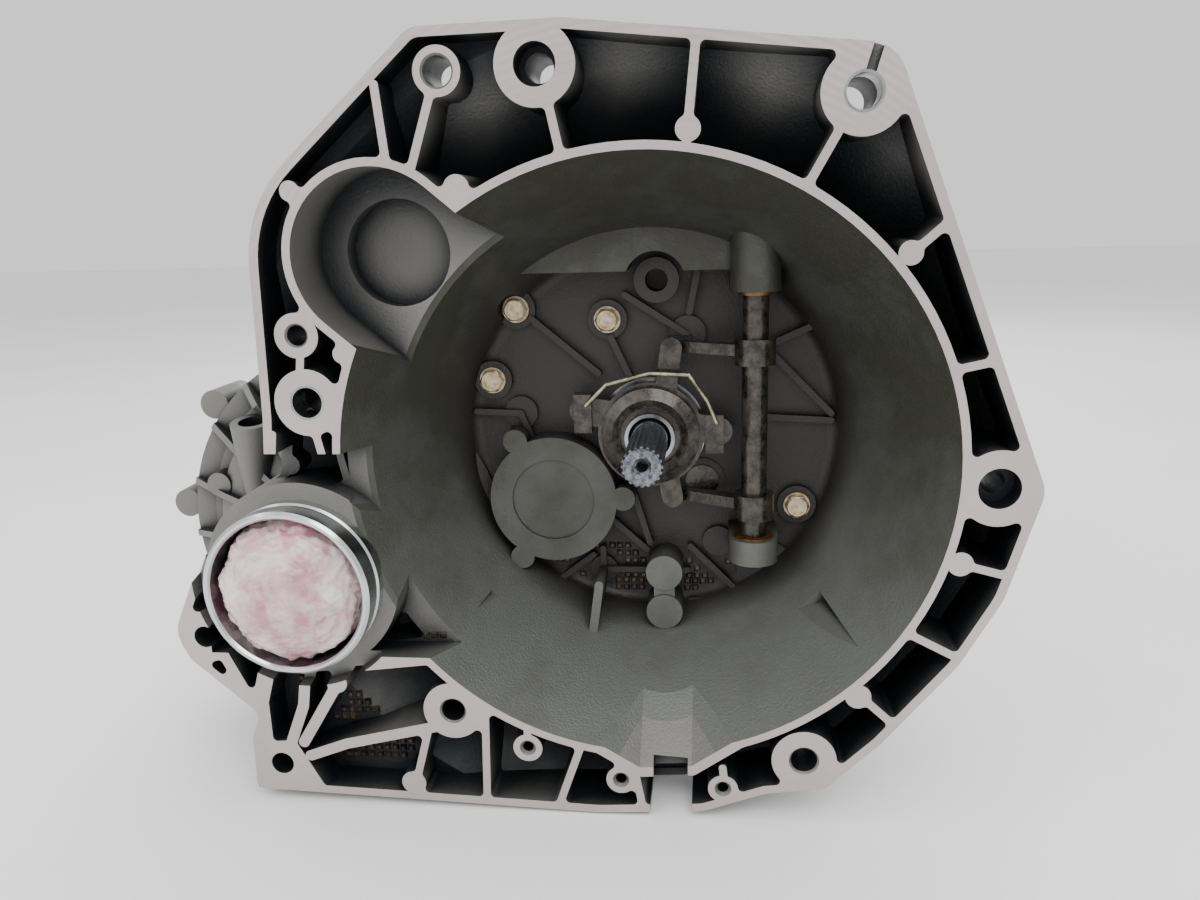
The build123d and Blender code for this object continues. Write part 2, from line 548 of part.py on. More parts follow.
def top_of(x, circles, grow):
    """Highest z of the belt around circles at this x."""
    face = hull(circles, grow)
    cut = face & (Pos(x, 0) * Rectangle(0.2, 900))
    return cut.bounding_box().max.Y


def bottom_of(x, circles, grow):
    face = hull(circles, grow)
    cut = face & (Pos(x, 0) * Rectangle(0.2, 900))
    return cut.bounding_box().min.Y


def side_of(z, circles, grow):
    """Furthest x of the belt around circles at this z."""
    face = hull(circles, grow)
    cut = face & (Pos(0, z) * Rectangle(900, 0.2))
    return cut.bounding_box().max.X


TOWER_TOP_Z = top_of(SHIFT_X, MAIN_CIRCLES, WALL_T) + 14
MOUNT_Z = top_of(MOUNT_X[1], MAIN_CIRCLES, WALL_T) + 16
SWITCH_Z = top_of(SWITCH_SPOT[0], MAIN_CIRCLES, WALL_T) + 12
DRAIN_Z = bottom_of(DRAIN_SPOT[0], MAIN_CIRCLES, WALL_T) - 4
FILLER_X = side_of(FILLER_SPOT[1], MAIN_CIRCLES, WALL_T) + 4


def gear_case():
    body = slab(hull(CASE_CIRCLES, WALL_T), SPLIT_Y, SPLIT_Y + FLANGE_T)
    body += [rod(x, z, BOLT_BOSS_R, SPLIT_Y, SPLIT_Y + FLANGE_T) for x, z in CASE_BOLTS]
    body += [rod(x, z, 9, SPLIT_Y, SPLIT_Y + 20) for x, z in FLOOR_BOLTS]
    body += slab(hull(MAIN_CIRCLES, WALL_T), SPLIT_Y, CASE_END_Y)
    body += slab(hull(COVER_CIRCLES, WALL_T), CASE_END_Y - 22, CASE_END_Y)
    body += [rod(x, z, BOLT_BOSS_R, CASE_END_Y - 24, CASE_END_Y) for x, z in COVER_BOLTS]
    body += dome(WALL_T)
    body += rod(DIFF_X, DIFF_Z, DIFF_REAR_HUB_R, 160, DOME_END_Y + 12)
    body += case_ribs()
    body += post(SHIFT_X, SHIFT_Y, TOWER_R, 20, TOWER_TOP_Z)
    body += post(SHIFT_X, SHIFT_Y, 13, SHIFT_FOOT_Z, -105)
    body += mount_bosses()
    body += post(DRAIN_SPOT[0], DRAIN_SPOT[1], PLUG_R + 6, DRAIN_Z, DRAIN_Z + 20)
    body += along_x(FILLER_SPOT, PLUG_R + 6, FILLER_X - 20, FILLER_X)
    body += post(SWITCH_SPOT[0], SWITCH_SPOT[1], SWITCH_R + 4, SWITCH_Z - 26, SWITCH_Z)
    body -= case_room()
    body += rod(IDLER_X, IDLER_Z, IDLER_SHAFT_R + 6, WALL_Y, CASE_END_Y)
    return body - case_cuts()


def case_ribs():
    """Stiffening ribs around the dome and along the main body."""
    ribs = []
    for i in range(9):
        turn = 75 + 30 * i
        strip = Pos(DIFF_X, DIFF_Z) * Rot(0, 0, turn) * Pos(70, 0) * Rectangle(78, CASE_RIB_T)
        ribs.append(slab(strip, SPLIT_Y + 2, 178) & turned(DIFF_X, DIFF_Z, [
            (0, SPLIT_Y), (BULGE_R + 14, SPLIT_Y), (BULGE_R + 11, 156), (64, 186), (0, 186)]))
    for y in (170, 196, 222, 248):
        ribs.append(slab(hull(MAIN_CIRCLES, WALL_T + 5), y, y + 4))
    return ribs


def mount_bosses():
    """Four threaded bosses for the engine bay mount, on top of the case."""
    bosses = []
    for x in MOUNT_X:
        for y in MOUNT_Y:
            bosses.append(post(x, y, 12, 20, MOUNT_Z))
    return bosses


def case_room():
    """Space inside the gear case."""
    room = slab(hull(MAIN_CIRCLES), SPLIT_Y - 1, WALL_Y)
    room += dome(0) + rod(DIFF_X, DIFF_Z, BULGE_R, SPLIT_Y - 1, SPLIT_Y + 1)
    profile = [(0, 160), (DIFF_BODY_R + 6, 160), (DIFF_BODY_R + 6, 172), (DIFF_BEARING_R, 172),
               (DIFF_BEARING_R, 190), (34, 190), (34, 193), (DIFF_BEARING_R, 193), (DIFF_BEARING_R, 206),
               (0, 206)]
    return room + turned(DIFF_X, DIFF_Z, profile)


def case_cuts():
    """Bearing seats, rail bores and bolt holes of the gear case."""
    cuts = [rod(0, 0, SMALL_BEARING_R, WALL_Y - 1, CASE_END_Y + 1)]
    cuts.append(rod(OUT_X, OUT_Z, OUTPUT_BEARING_R, WALL_Y - 1, CASE_END_Y + 1))
    cuts += [rod(RAIL_X, z, RAIL_R + SHAFT_GAP, WALL_Y - 1, CASE_END_Y - 2) for z in RAIL_Z[:2]]
    cuts.append(rod(RAIL_X, RAIL_Z[2], RAIL_R + SHAFT_GAP, WALL_Y - 1, CASE_END_Y + 1))
    cuts.append(rod(IDLER_X, IDLER_Z, IDLER_SHAFT_R, WALL_Y + 2, CASE_END_Y + 1))
    cuts += [rod(x, z, BOLT_R + 0.2, SPLIT_Y - 1, SPLIT_Y + FLANGE_T + 1) for x, z in CASE_BOLTS]
    cuts += [rod(x, z, BOLT_HEAD_R + 1.5, SPLIT_Y + FLANGE_T, SPLIT_Y + FLANGE_T + 30) for x, z in CASE_BOLTS]
    cuts += [rod(x, z, BOLT_R, SPLIT_Y - 1, SPLIT_Y + 17) for x, z in FLOOR_BOLTS]
    cuts += [rod(x, z, BOLT_R, CASE_END_Y - 20, CASE_END_Y + 1) for x, z in COVER_BOLTS]
    cuts.append(post(SHIFT_X, SHIFT_Y, SHIFT_R + 5, 0, TOWER_TOP_Z + 1))
    cuts.append(post(SHIFT_X, SHIFT_Y, SHIFT_R + SHAFT_GAP, SHIFT_FOOT_Z + 3, 0))
    for x in MOUNT_X:
        cuts += [post(x, y, MOUNT_HOLE_R, MOUNT_Z - 13, MOUNT_Z + 1) for y in MOUNT_Y]
    cuts.append(post(DRAIN_SPOT[0], DRAIN_SPOT[1], PLUG_R, DRAIN_Z - 1, DRAIN_Z + 20))
    cuts.append(along_x(FILLER_SPOT, PLUG_R, FILLER_X - 20, FILLER_X + 1))
    cuts.append(post(DRAIN_SPOT[0], DRAIN_SPOT[1], PLUG_R + 3.5, DRAIN_Z - 5, DRAIN_Z))
    cuts.append(along_x(FILLER_SPOT, PLUG_R + 3.5, FILLER_X, FILLER_X + 5))
    cuts.append(post(SWITCH_SPOT[0], SWITCH_SPOT[1], SWITCH_R, SWITCH_Z - 8, SWITCH_Z + 1))
    cuts.append(post(SWITCH_SPOT[0], SWITCH_SPOT[1], PLUNGER_R + 2, SWITCH_Z - 30, SWITCH_Z))
    return cuts


def end_cover():
    body = slab(hull(COVER_CIRCLES, WALL_T), CASE_END_Y, COVER_END_Y)
    body += [rod(x, z, BOLT_BOSS_R, CASE_END_Y, CASE_END_Y + FLANGE_T) for x, z in COVER_BOLTS]
    body += slab(hull(COVER_CIRCLES, WALL_T + 4), CASE_END_Y, CASE_END_Y + FLANGE_T)
    body = fillet(body.faces().sort_by(Axis.Y)[-1].edges(), 8)
    body -= slab(hull(COVER_CIRCLES), CASE_END_Y - 1, COVER_END_Y - WALL_T)
    body -= [rod(x, z, BOLT_R + 0.2, CASE_END_Y - 1, CASE_END_Y + FLANGE_T + 1) for x, z in COVER_BOLTS]
    heads = [rod(x, z, BOLT_HEAD_R + 1.5, CASE_END_Y + FLANGE_T, COVER_END_Y) for x, z in COVER_BOLTS]
    return body - heads


# ---------------------------------------------------------------- fasteners
def hex_bolt(head_r, head_h, shank_r, length):
    """Flanged hexagon bolt along +Z, with the underside of its head at z = 0."""
    head = Pos(0, 0, 1.5) * extrude(RegularPolygon(head_r * 0.93, 6), head_h - 1.5)
    head &= Pos(0, 0, head_h / 2) * Cone(head_r + head_h * 0.9, head_r * 0.72, head_h)
    head += Pos(0, 0, 0.75) * Cylinder(head_r, 1.5)
    dish = Pos(0, 0, head_h) * Cylinder(head_r * 0.55, 1.2)
    return head - dish + Pos(0, 0, -length / 2) * Cylinder(shank_r, length)


def bolts_along_y(spots, y, length, facing=1, shank_r=BOLT_R):
    """Bolts whose heads sit at y and face +Y (facing 1) or -Y (facing -1)."""
    turn = Rot(-90 * facing, 0, 0)
    bolt = hex_bolt(BOLT_HEAD_R, BOLT_HEAD_H, shank_r - TOUCH_GAP, length)
    return group(Pos(x, y, z) * turn * bolt for x, z in spots)


# ---------------------------------------------------------------- gears
def involute_flank(base_r, from_r, to_r, steps=4):
    """Points of an involute as (radius, angle in radians), from one radius to another."""
    points = []
    for i in range(steps + 1):
        r = from_r + (to_r - from_r) * i / steps
        inner = max(r, base_r)
        roll = math.sqrt(max((inner / base_r) ** 2 - 1, 0))
        undercut = UNDERCUT * max(base_r - r, 0) / base_r
        points.append((r, roll - math.atan(roll) + undercut))
    return points


def gear_face(teeth, module, angle):
    """Spur gear face with a tooth centred on the given direction."""
    pitch_r = teeth * module / 2
    base_r = pitch_r * math.cos(math.radians(20))
    root_r, tip_r = pitch_r - 1.2 * module, pitch_r + 0.9 * module
    at_pitch = involute_flank(base_r, pitch_r, pitch_r, 1)[0][1]
    half = math.pi / (2 * teeth) - BACKLASH / pitch_r
    flank = involute_flank(base_r, root_r, tip_r)
    points = []
    for i in range(teeth):
        middle = math.radians(angle) + 2 * math.pi * i / teeth
        rising = [(r, middle - half - at_pitch + roll) for r, roll in flank]
        falling = [(r, middle + half + at_pitch - roll) for r, roll in reversed(flank)]
        points += [(r * math.cos(a), r * math.sin(a)) for r, a in rising + falling]
    return poly(points)


def gap_angle(teeth, direction):
    """Direction of a tooth when a tooth space points along the given direction."""
    return direction + 180 / teeth


def drive_y(i):
    """Front of the teeth of gear pair i, counted from 0."""
    return [FIRST_Y, FIRST_Y + GEAR_W + PAIR_GAP, THIRD_Y, THIRD_Y + GEAR_W + PAIR_GAP,
            REVERSE_Y + REVERSE_W + PAIR_GAP][i]


def input_shaft():
    """Splined shaft with the drive gears of first to fourth and reverse cut on it."""
    last = drive_y(4) + GEAR_W
    seat = INPUT_R - TOUCH_GAP
    wide_y = FIRST_Y + GEAR_W + 2
    profile = [(0, 12), (SPLINE_R - 1, 12), (SPLINE_R - 1, 72), (10, 72), (10, 103), (seat, 103), (seat, 118),
               (INPUT_BODY_R, 118), (INPUT_BODY_R, 121), (INPUT_NECK_R, 123), (INPUT_NECK_R, wide_y),
               (INPUT_BODY_R, wide_y), (INPUT_BODY_R, WALL_Y), (seat, WALL_Y), (seat, 290),
               (INPUT_NECK_R, 290), (INPUT_NECK_R, last + 2), (0, last + 2)]
    body = turned(0, 0, profile)
    for i in range(4):
        body += slab(gear_face(DRIVE_TEETH[i], MODULE, OUT_ANGLE), drive_y(i), drive_y(i) + GEAR_W)
    face = gear_face(REVERSE_TEETH[0], REVERSE_MODULE, idler_direction())
    body += slab(face, REVERSE_Y, REVERSE_Y + REVERSE_W)
    body += slab(spline_face(), 13, 62)
    body -= rod(0, 0, 3, 0, 30)
    return body - cone(0, 0, 5, 3, 11.9, 14)


def spline_face():
    """Outline of the clutch disc splines."""
    points = []
    for _, _, angle in around(20, SPLINE_R):
        for step, r in ((-6, 9.2), (-3.6, SPLINE_R), (3.6, SPLINE_R), (6, 9.2)):
            a = math.radians(angle + step)
            points.append((r * math.cos(a), r * math.sin(a)))
    return poly(points)


def idler_direction():
    return math.degrees(math.atan2(IDLER_Z, IDLER_X))


def drive_gear_5():
    y = drive_y(4)
    face = gear_face(DRIVE_TEETH[4], MODULE, OUT_ANGLE)
    body = slab(face, y, y + GEAR_W) + rod(0, 0, 18, y - 4, y + GEAR_W)
    body -= tube(0, 0, 31, 20, y - 1, y + 3) + tube(0, 0, 31, 20, y + GEAR_W - 3, y + GEAR_W + 1)
    return body - rod(0, 0, INPUT_NECK_R + TOUCH_GAP, y - 5, y + GEAR_W + 1)


def free_gear(teeth, module, direction, y, width, cone_side):
    """Gear that runs free on the output shaft, with dog ring and synchroniser cone on one side."""
    body = Pos(OUT_X, 0, OUT_Z) * slab(gear_face(teeth, module, gap_angle(teeth, direction)), y, y + width)
    root_r = teeth * module / 2 - 1.2 * module
    if root_r > 40:
        for face_y in (y - 1, y + width - 3):
            body -= tube(OUT_X, OUT_Z, root_r - 5, 36, face_y, face_y + 4)
    if cone_side > 0:
        body += rod(OUT_X, OUT_Z, DOG_R, y + width, y + width + DOG_W)
        body += cone(OUT_X, OUT_Z, CONE_R, CONE_R - 1, y + width + DOG_W, y + width + DOG_W + CONE_W)
        return body - rod(OUT_X, OUT_Z, GEAR_SEAT_R + SHAFT_GAP, y - 9, y + width + 20)
    body += rod(OUT_X, OUT_Z, DOG_R, y - DOG_W, y)
    body += cone(OUT_X, OUT_Z, CONE_R - 1, CONE_R, y - DOG_W - CONE_W, y - DOG_W)
    return body - rod(OUT_X, OUT_Z, GEAR_SEAT_R + SHAFT_GAP, y - 20, y + width + 9)


def driven_gear(i):
    side = 1 if i in (0, 2) else -1
    return free_gear(DRIVEN_TEETH[i], MODULE, OUT_ANGLE + 180, drive_y(i), GEAR_W, side)


def reverse_gear():
    """Reverse gear, turned so that its tooth spaces meet the teeth of the idler."""
    toward = math.degrees(math.atan2(IDLER_Z - OUT_Z, IDLER_X - OUT_X))
    idler_tooth = gap_angle(REVERSE_TEETH[1], idler_direction() + 180)
    part_pitch = (toward + 180 - idler_tooth) * REVERSE_TEETH[1] / 360 % 1
    toward += part_pitch * 360 / REVERSE_TEETH[2]
    return free_gear(REVERSE_TEETH[2], REVERSE_MODULE, toward, REVERSE_Y, REVERSE_W, 1)


def reverse_idler():
    """Idler that meshes with the reverse pinion and the reverse gear."""
    from_input = idler_direction() + 180
    face = gear_face(REVERSE_TEETH[1], REVERSE_MODULE, gap_angle(REVERSE_TEETH[1], from_input))
    body = Pos(IDLER_X, 0, IDLER_Z) * slab(face, REVERSE_Y, REVERSE_Y + REVERSE_W)
    return body - rod(IDLER_X, IDLER_Z, IDLER_SHAFT_R + SHAFT_GAP, REVERSE_Y - 1, REVERSE_Y + REVERSE_W + 1)


def sleeve_y(i):
    """Middle of sleeve i, between its two gears."""
    before = [FIRST_Y + GEAR_W, THIRD_Y + GEAR_W, REVERSE_Y + REVERSE_W]
    return before[i] + PAIR_GAP / 2


def spline_ring(count, inner_r, outer_r, share):
    """Teeth of a sleeve or hub as one face, reaching from inner_r to outer_r."""
    face = Sketch()
    width = share * 2 * math.pi * inner_r / count
    for _, _, angle in around(count, 1):
        face += Rot(0, 0, angle) * Pos((inner_r + outer_r) / 2, 0) * Rectangle(outer_r - inner_r, width)
    return face


def sleeve(i):
    """Shift sleeve with inner splines and the groove for its fork."""
    y = sleeve_y(i)
    ring = disc(0, 0, SLEEVE_R) - disc(0, 0, SLEEVE_BORE_R)
    ring += spline_ring(SPLINE_COUNT, DOG_R + 0.5, SLEEVE_BORE_R + 1, 0.42)
    body = Pos(OUT_X, 0, OUT_Z) * slab(ring, y - SLEEVE_W / 2, y + SLEEVE_W / 2)
    half = FORK_GROOVE_W / 2
    return body - tube(OUT_X, OUT_Z, SLEEVE_R + 1, FORK_GROOVE_R, y - half, y + half)


def synchro_hub(i):
    """Hub under a sleeve, keyed to the output shaft."""
    y = sleeve_y(i)
    face = disc(0, 0, SLEEVE_BORE_R - 0.15) - spline_ring(SPLINE_COUNT, DOG_R + 0.2, SLEEVE_BORE_R + 1, 0.52)
    front, back = y - HUB_W / 2, y + HUB_W / 2
    body = Pos(OUT_X, 0, OUT_Z) * slab(face - disc(0, 0, GEAR_SEAT_R + TOUCH_GAP), front, back)
    body -= tube(OUT_X, OUT_Z, 31, 22.5, front - 1, y - 3)
    return body - tube(OUT_X, OUT_Z, 31, 22.5, y + 3, back + 1)


def synchro_rings():
    """Brass rings between the hubs and the cones of the gears beside them."""
    rings = []
    for i in range(3):
        for side in (-1, 1):
            y = sleeve_y(i) + side * (HUB_W / 2 + 2.8)
            rings.append(tube(OUT_X, OUT_Z, DOG_R, CONE_R + PART_GAP, y - 2.2, y + 2.2))
    return group(rings)


def output_shaft():
    """Shaft with the final drive pinion cut on it."""
    r = OUTPUT_R - TOUCH_GAP
    profile = [(0, 87), (r, 87), (r, 103), (19, 103), (19, 147), (GEAR_SEAT_R, 147),
               (GEAR_SEAT_R, WALL_Y - 1), (r, WALL_Y - 1), (r, 289), (GEAR_SEAT_R - 2, 289),
               (GEAR_SEAT_R - 2, 293), (GEAR_SEAT_R, 293),
               (GEAR_SEAT_R, 353), (12, 353), (12, 356), (0, 356)]
    face = gear_face(PINION_TEETH, FINAL_MODULE, DIFF_ANGLE)
    body = turned(0, 0, profile) + slab(face, RING_Y - 2, RING_Y + RING_FACE_W + 1)
    return Pos(OUT_X, 0, OUT_Z) * (body - rod(0, 0, 4, 80, 160))


# ---------------------------------------------------------------- differential
DIFF_MIDDLE_Y = 136.0
RING_SEAT_R = 62.0
RING_BOLT_PCR = 70.0
CROSS_PIN_R = 8.0
SIDE_PITCH_R = 26.0
BEVEL_SHARE = 0.62        # inner end of a bevel tooth as a share of its outer end
DIFF_FLANGE_Y = 110.0
DIFF_ROOM_R = 40.0


def ring_gear():
    face = gear_face(RING_TEETH, FINAL_MODULE, gap_angle(RING_TEETH, DIFF_ANGLE + 180))
    face -= disc(0, 0, RING_SEAT_R + TOUCH_GAP)
    body = slab(face, RING_Y, RING_Y + RING_FACE_W)
    body -= tube(0, 0, 90, 78, RING_Y + RING_FACE_W - 8, RING_Y + RING_FACE_W + 1)
    holes = [rod(x, z, BOLT_R + 1, RING_Y - 1, RING_Y + 16) for x, z, _ in around(8, RING_BOLT_PCR)]
    return Pos(DIFF_X, 0, DIFF_Z) * (body - holes)


def ring_gear_bolts():
    bolt = Rot(90, 0, 0) * hex_bolt(BOLT_HEAD_R, 5.5, BOLT_R + 1 - TOUCH_GAP, 22)
    return group(Pos(DIFF_X + x, DIFF_FLANGE_Y, DIFF_Z + z) * bolt for x, z, _ in around(8, RING_BOLT_PCR))


def diff_case():
    """Carrier of the ring gear, with windows on two sides and journals for its bearings."""
    r = DIFF_JOURNAL_R - TOUCH_GAP
    profile = [(0, 87), (r, 87), (r, 104.5), (44, 104.5), (54, DIFF_FLANGE_Y), (80, DIFF_FLANGE_Y),
               (80, RING_Y), (RING_SEAT_R, RING_Y), (RING_SEAT_R, 150), (DIFF_BODY_R, 150),
               (DIFF_BODY_R, 160), (46, 168.5), (r, 168.5), (r, 189), (0, 189)]
    body = turned(0, 0, profile)
    body -= rod(0, 0, DIFF_ROOM_R, DIFF_MIDDLE_Y - SIDE_PITCH_R, DIFF_MIDDLE_Y + SIDE_PITCH_R)
    body -= rod(0, 0, 14, 80, 200)
    body -= [rod(x, z, 6, 100, 170) for x, z, _ in around(4, 50, 45)]
    body -= Pos(0, DIFF_MIDDLE_Y, 0) * Rot(0, 90, 0) * Cylinder(CROSS_PIN_R + TOUCH_GAP, 200)
    body -= [rod(x, z, BOLT_R + 1, DIFF_FLANGE_Y - 1, RING_Y + 1) for x, z, _ in around(8, RING_BOLT_PCR)]
    return Pos(DIFF_X, 0, DIFF_Z) * body


def cross_pin():
    pin = Pos(DIFF_X, DIFF_MIDDLE_Y, DIFF_Z) * Rot(0, 90, 0) * Cylinder(CROSS_PIN_R, 2 * RING_SEAT_R - 1)
    return pin


def bevel_gear(teeth, other, pitch_r, bore_r, hub_r, back, phase):
    """Straight bevel gear with its apex at the origin, opening along +Z."""
    height = pitch_r * other / teeth
    module = 2 * pitch_r / teeth

    def section(share):
        points = []
        for i in range(teeth):
            middle = phase + 360 * i / teeth
            for step, r in ((-0.34, -1.1), (-0.14, 0.8), (0.14, 0.8), (0.34, -1.1)):
                a = math.radians(middle + step * 360 / teeth)
                reach = (pitch_r + r * module) * share
                points.append((reach * math.cos(a), reach * math.sin(a), height * share))
        return make_face(Polyline(points, close=True))

    body = loft([section(BEVEL_SHARE), section(1)], ruled=True)
    body += Pos(0, 0, height + back / 2) * Cylinder(hub_r, back)
    return body - Cylinder(bore_r, 200)


def side_gear(side):
    """Side gear; side -1 is the one nearer the engine."""
    phase = 0 if side < 0 else 180 / SIDE_TEETH
    body = bevel_gear(SIDE_TEETH, PLANET_TEETH, SIDE_PITCH_R, 11, 22, 7.5, phase)
    turn = Rot(-90 * side, 0, 0)
    return Pos(DIFF_X, DIFF_MIDDLE_Y, DIFF_Z) * turn * body


def planet_gear(side):
    """Planet gear on the cross pin; side 1 lies towards +X."""
    pitch_r = SIDE_PITCH_R * PLANET_TEETH / SIDE_TEETH
    phase = gap_angle(PLANET_TEETH, 270)
    body = bevel_gear(PLANET_TEETH, SIDE_TEETH, pitch_r, CROSS_PIN_R + SHAFT_GAP, 15, 10.5, phase)
    return Pos(DIFF_X, DIFF_MIDDLE_Y, DIFF_Z) * Rot(0, 90 * side, 0) * body


# ---------------------------------------------------------------- bearings and seals
# Shaft axis, inner radius, outer radius, front and back of each ball bearing
INPUT_BEARINGS = [(0, 0, INPUT_R, SMALL_BEARING_R, 103, 118), (0, 0, INPUT_R, SMALL_BEARING_R, 273, 288)]
OUTPUT_BEARINGS = [(OUT_X, OUT_Z, OUTPUT_R, OUTPUT_BEARING_R, 87, 103),
                   (OUT_X, OUT_Z, OUTPUT_R, OUTPUT_BEARING_R, 272, 288)]
DIFF_BEARINGS = [(DIFF_X, DIFF_Z, DIFF_JOURNAL_R, DIFF_BEARING_R, 86, 104),
                 (DIFF_X, DIFF_Z, DIFF_JOURNAL_R, DIFF_BEARING_R, 172, 190)]
RACE_SHARE = 0.28         # race thickness as a share of the gap between shaft and seat
BALL_GAP = 0.06


def ball_size(inner_r, outer_r, y0, y1):
    return min(0.31 * (outer_r - inner_r), 0.36 * (y1 - y0))


def race(bearing, outer):
    """One race of a ball bearing with its ball groove."""
    x, z, inner_r, outer_r, y0, y1 = bearing
    step = RACE_SHARE * (outer_r - inner_r)
    middle = (inner_r + outer_r) / 2
    if outer:
        body = tube(x, z, outer_r - TOUCH_GAP, outer_r - step, y0, y1)
    else:
        body = tube(x, z, inner_r + step, inner_r, y0, y1)
    groove = Torus(middle, ball_size(inner_r, outer_r, y0, y1) + BALL_GAP)
    return body - Pos(x, (y0 + y1) / 2, z) * Rot(90, 0, 0) * groove


def ball_set(bearing, count):
    """Balls of a bearing and the cage ring that spaces them."""
    x, z, inner_r, outer_r, y0, y1 = bearing
    middle = (inner_r + outer_r) / 2
    size = ball_size(inner_r, outer_r, y0, y1)
    y = (y0 + y1) / 2
    cage = tube(x, z, middle + 1.2, middle - 1.2, y - size - 0.8, y + size + 0.8)
    pieces = []
    for dx, dz, angle in around(count, middle):
        place = Pos(x + dx, y, z + dz) * Rot(0, -angle, 0)
        cage -= place * Rot(0, 90, 0) * Cylinder(size + BALL_GAP, 8)
        pieces.append(place * Sphere(size))
    return [cage] + pieces


def oil_seal(x, z, bore, outer, y0, y1):
    """Lip seal: a ring with a thin lip that stands just off the shaft."""
    profile = [(outer - 2, y0), (outer - TOUCH_GAP, y0 + 0.6), (outer - TOUCH_GAP, y1), (outer - 3, y1),
               (outer - 3, y0 + 2.5), (bore + 2.5, y0 + 2.5), (bore + 2, y1 - 1.5), (bore, y1 - 2.5),
               (bore + 0.8, y0)]
    return turned(x, z, profile)


def oil_seals():
    seals = [oil_seal(0, 0, 10 + SHAFT_GAP, SEAL_SEAT_R, FLOOR_Y + PART_GAP, 102.8)]
    seals.append(oil_seal(DIFF_X, DIFF_Z, 15, 36, 70, 80))
    seals.append(oil_seal(DIFF_X, DIFF_Z, 15, DIFF_BEARING_R, 194, 204))
    return group(seals)


# ---------------------------------------------------------------- shift mechanism
FORK_T = FORK_GROOVE_W - 2 * PART_GAP
FORK_INNER_R, FORK_OUTER_R = FORK_GROOVE_R + PART_GAP, 48.0
JAW_PITCH = 12.0
JAW_T = 8.0
FINGER_REACH, FINGER_TIP_R = 26.0, 5.0
RAIL_FRONT_Y = RAIL_BOSS_Y + 12
RAIL_END_Y = [280.0, 280.0, 328.0]
JAW_Z = [RAIL_Z[1] + JAW_PITCH, RAIL_Z[1], RAIL_Z[1] - JAW_PITCH]


def shift_fork(i):
    """Fork welded to its rail, with the jaw that the shift finger moves."""
    y = sleeve_y(i)
    z = RAIL_Z[i]
    toward = math.degrees(math.atan2(z - OUT_Z, RAIL_X - OUT_X))
    reach = math.hypot(RAIL_X - OUT_X, z - OUT_Z)
    ring = disc(0, 0, FORK_OUTER_R) - disc(0, 0, FORK_INNER_R) - Pos(-60, 0) * Rectangle(100, 200)
    web = Pos((FORK_OUTER_R + reach) / 2 - 2, 0) * Rectangle(reach - FORK_OUTER_R + 4, 16)
    face = Pos(OUT_X, OUT_Z) * Rot(0, 0, toward) * (ring + web)
    body = slab(face, y - FORK_T / 2, y + FORK_T / 2)
    body += rod(RAIL_X, z, RAIL_R, RAIL_FRONT_Y, RAIL_END_Y[i])
    body += rod(RAIL_X, z, RAIL_R + 4, y - 9, y + 9)
    low, high = min(z, JAW_Z[i]) - JAW_T / 2, max(z, JAW_Z[i]) + JAW_T / 2
    body += block(RAIL_X - 5, RAIL_X + 6, SHIFT_Y - 12, SHIFT_Y + 12, low, high)
    tip_x = SHIFT_X - FINGER_REACH
    jaw = block(RAIL_X + 5, tip_x + 5, SHIFT_Y - 12, SHIFT_Y + 12, JAW_Z[i] - JAW_T / 2, JAW_Z[i] + JAW_T / 2)
    slot = FINGER_TIP_R + PART_GAP
    jaw -= block(tip_x - slot - 1, tip_x + 6, SHIFT_Y - slot, SHIFT_Y + slot, -200, 0)
    return body + jaw


def shift_shaft():
    """Upright shaft with the finger that picks a jaw."""
    top = TOWER_TOP_Z + 34
    z = RAIL_Z[1]
    body = post(SHIFT_X, SHIFT_Y, SHIFT_R, SHIFT_FOOT_Z + 16, top)
    body += post(SHIFT_X, SHIFT_Y, SHIFT_R + 4, z - 8, z + 8)
    body += block(SHIFT_X - FINGER_REACH, SHIFT_X - 6, SHIFT_Y - 4, SHIFT_Y + 4, z - 3.2, z + 3.2)
    body += post(SHIFT_X - FINGER_REACH, SHIFT_Y, FINGER_TIP_R, z - 3.2, z + 3.2)
    body -= post(SHIFT_X, SHIFT_Y, 2.5, top - 14, top + 1)
    return body


HOUSING_SCREWS = [(SHIFT_X + 18, SHIFT_Y + 18), (SHIFT_X - 18, SHIFT_Y + 18),
                  (SHIFT_X - 18, SHIFT_Y - 18), (SHIFT_X + 18, SHIFT_Y - 18)]


def shift_housing():
    """Turret on the case that guides the shift shaft and carries its seal."""
    z = TOWER_TOP_Z
    body = post(SHIFT_X, SHIFT_Y, TOWER_R, z, z + 8)
    body += [post(x, y, 8, z, z + 8) for x, y in HOUSING_SCREWS]
    body += Pos(SHIFT_X, SHIFT_Y, z + 13) * Cone(18, 13, 12)
    body -= post(SHIFT_X, SHIFT_Y, SHIFT_R + SHAFT_GAP, z - 1, z + 30)
    return body - [post(x, y, 3.2, z - 1, z + 9) for x, y in HOUSING_SCREWS]


def housing_screws():
    screw = hex_bolt(5.5, 4.5, 3.2 - TOUCH_GAP, 8)
    return group(Pos(x, y, TOWER_TOP_Z + 8) * screw for x, y in HOUSING_SCREWS)


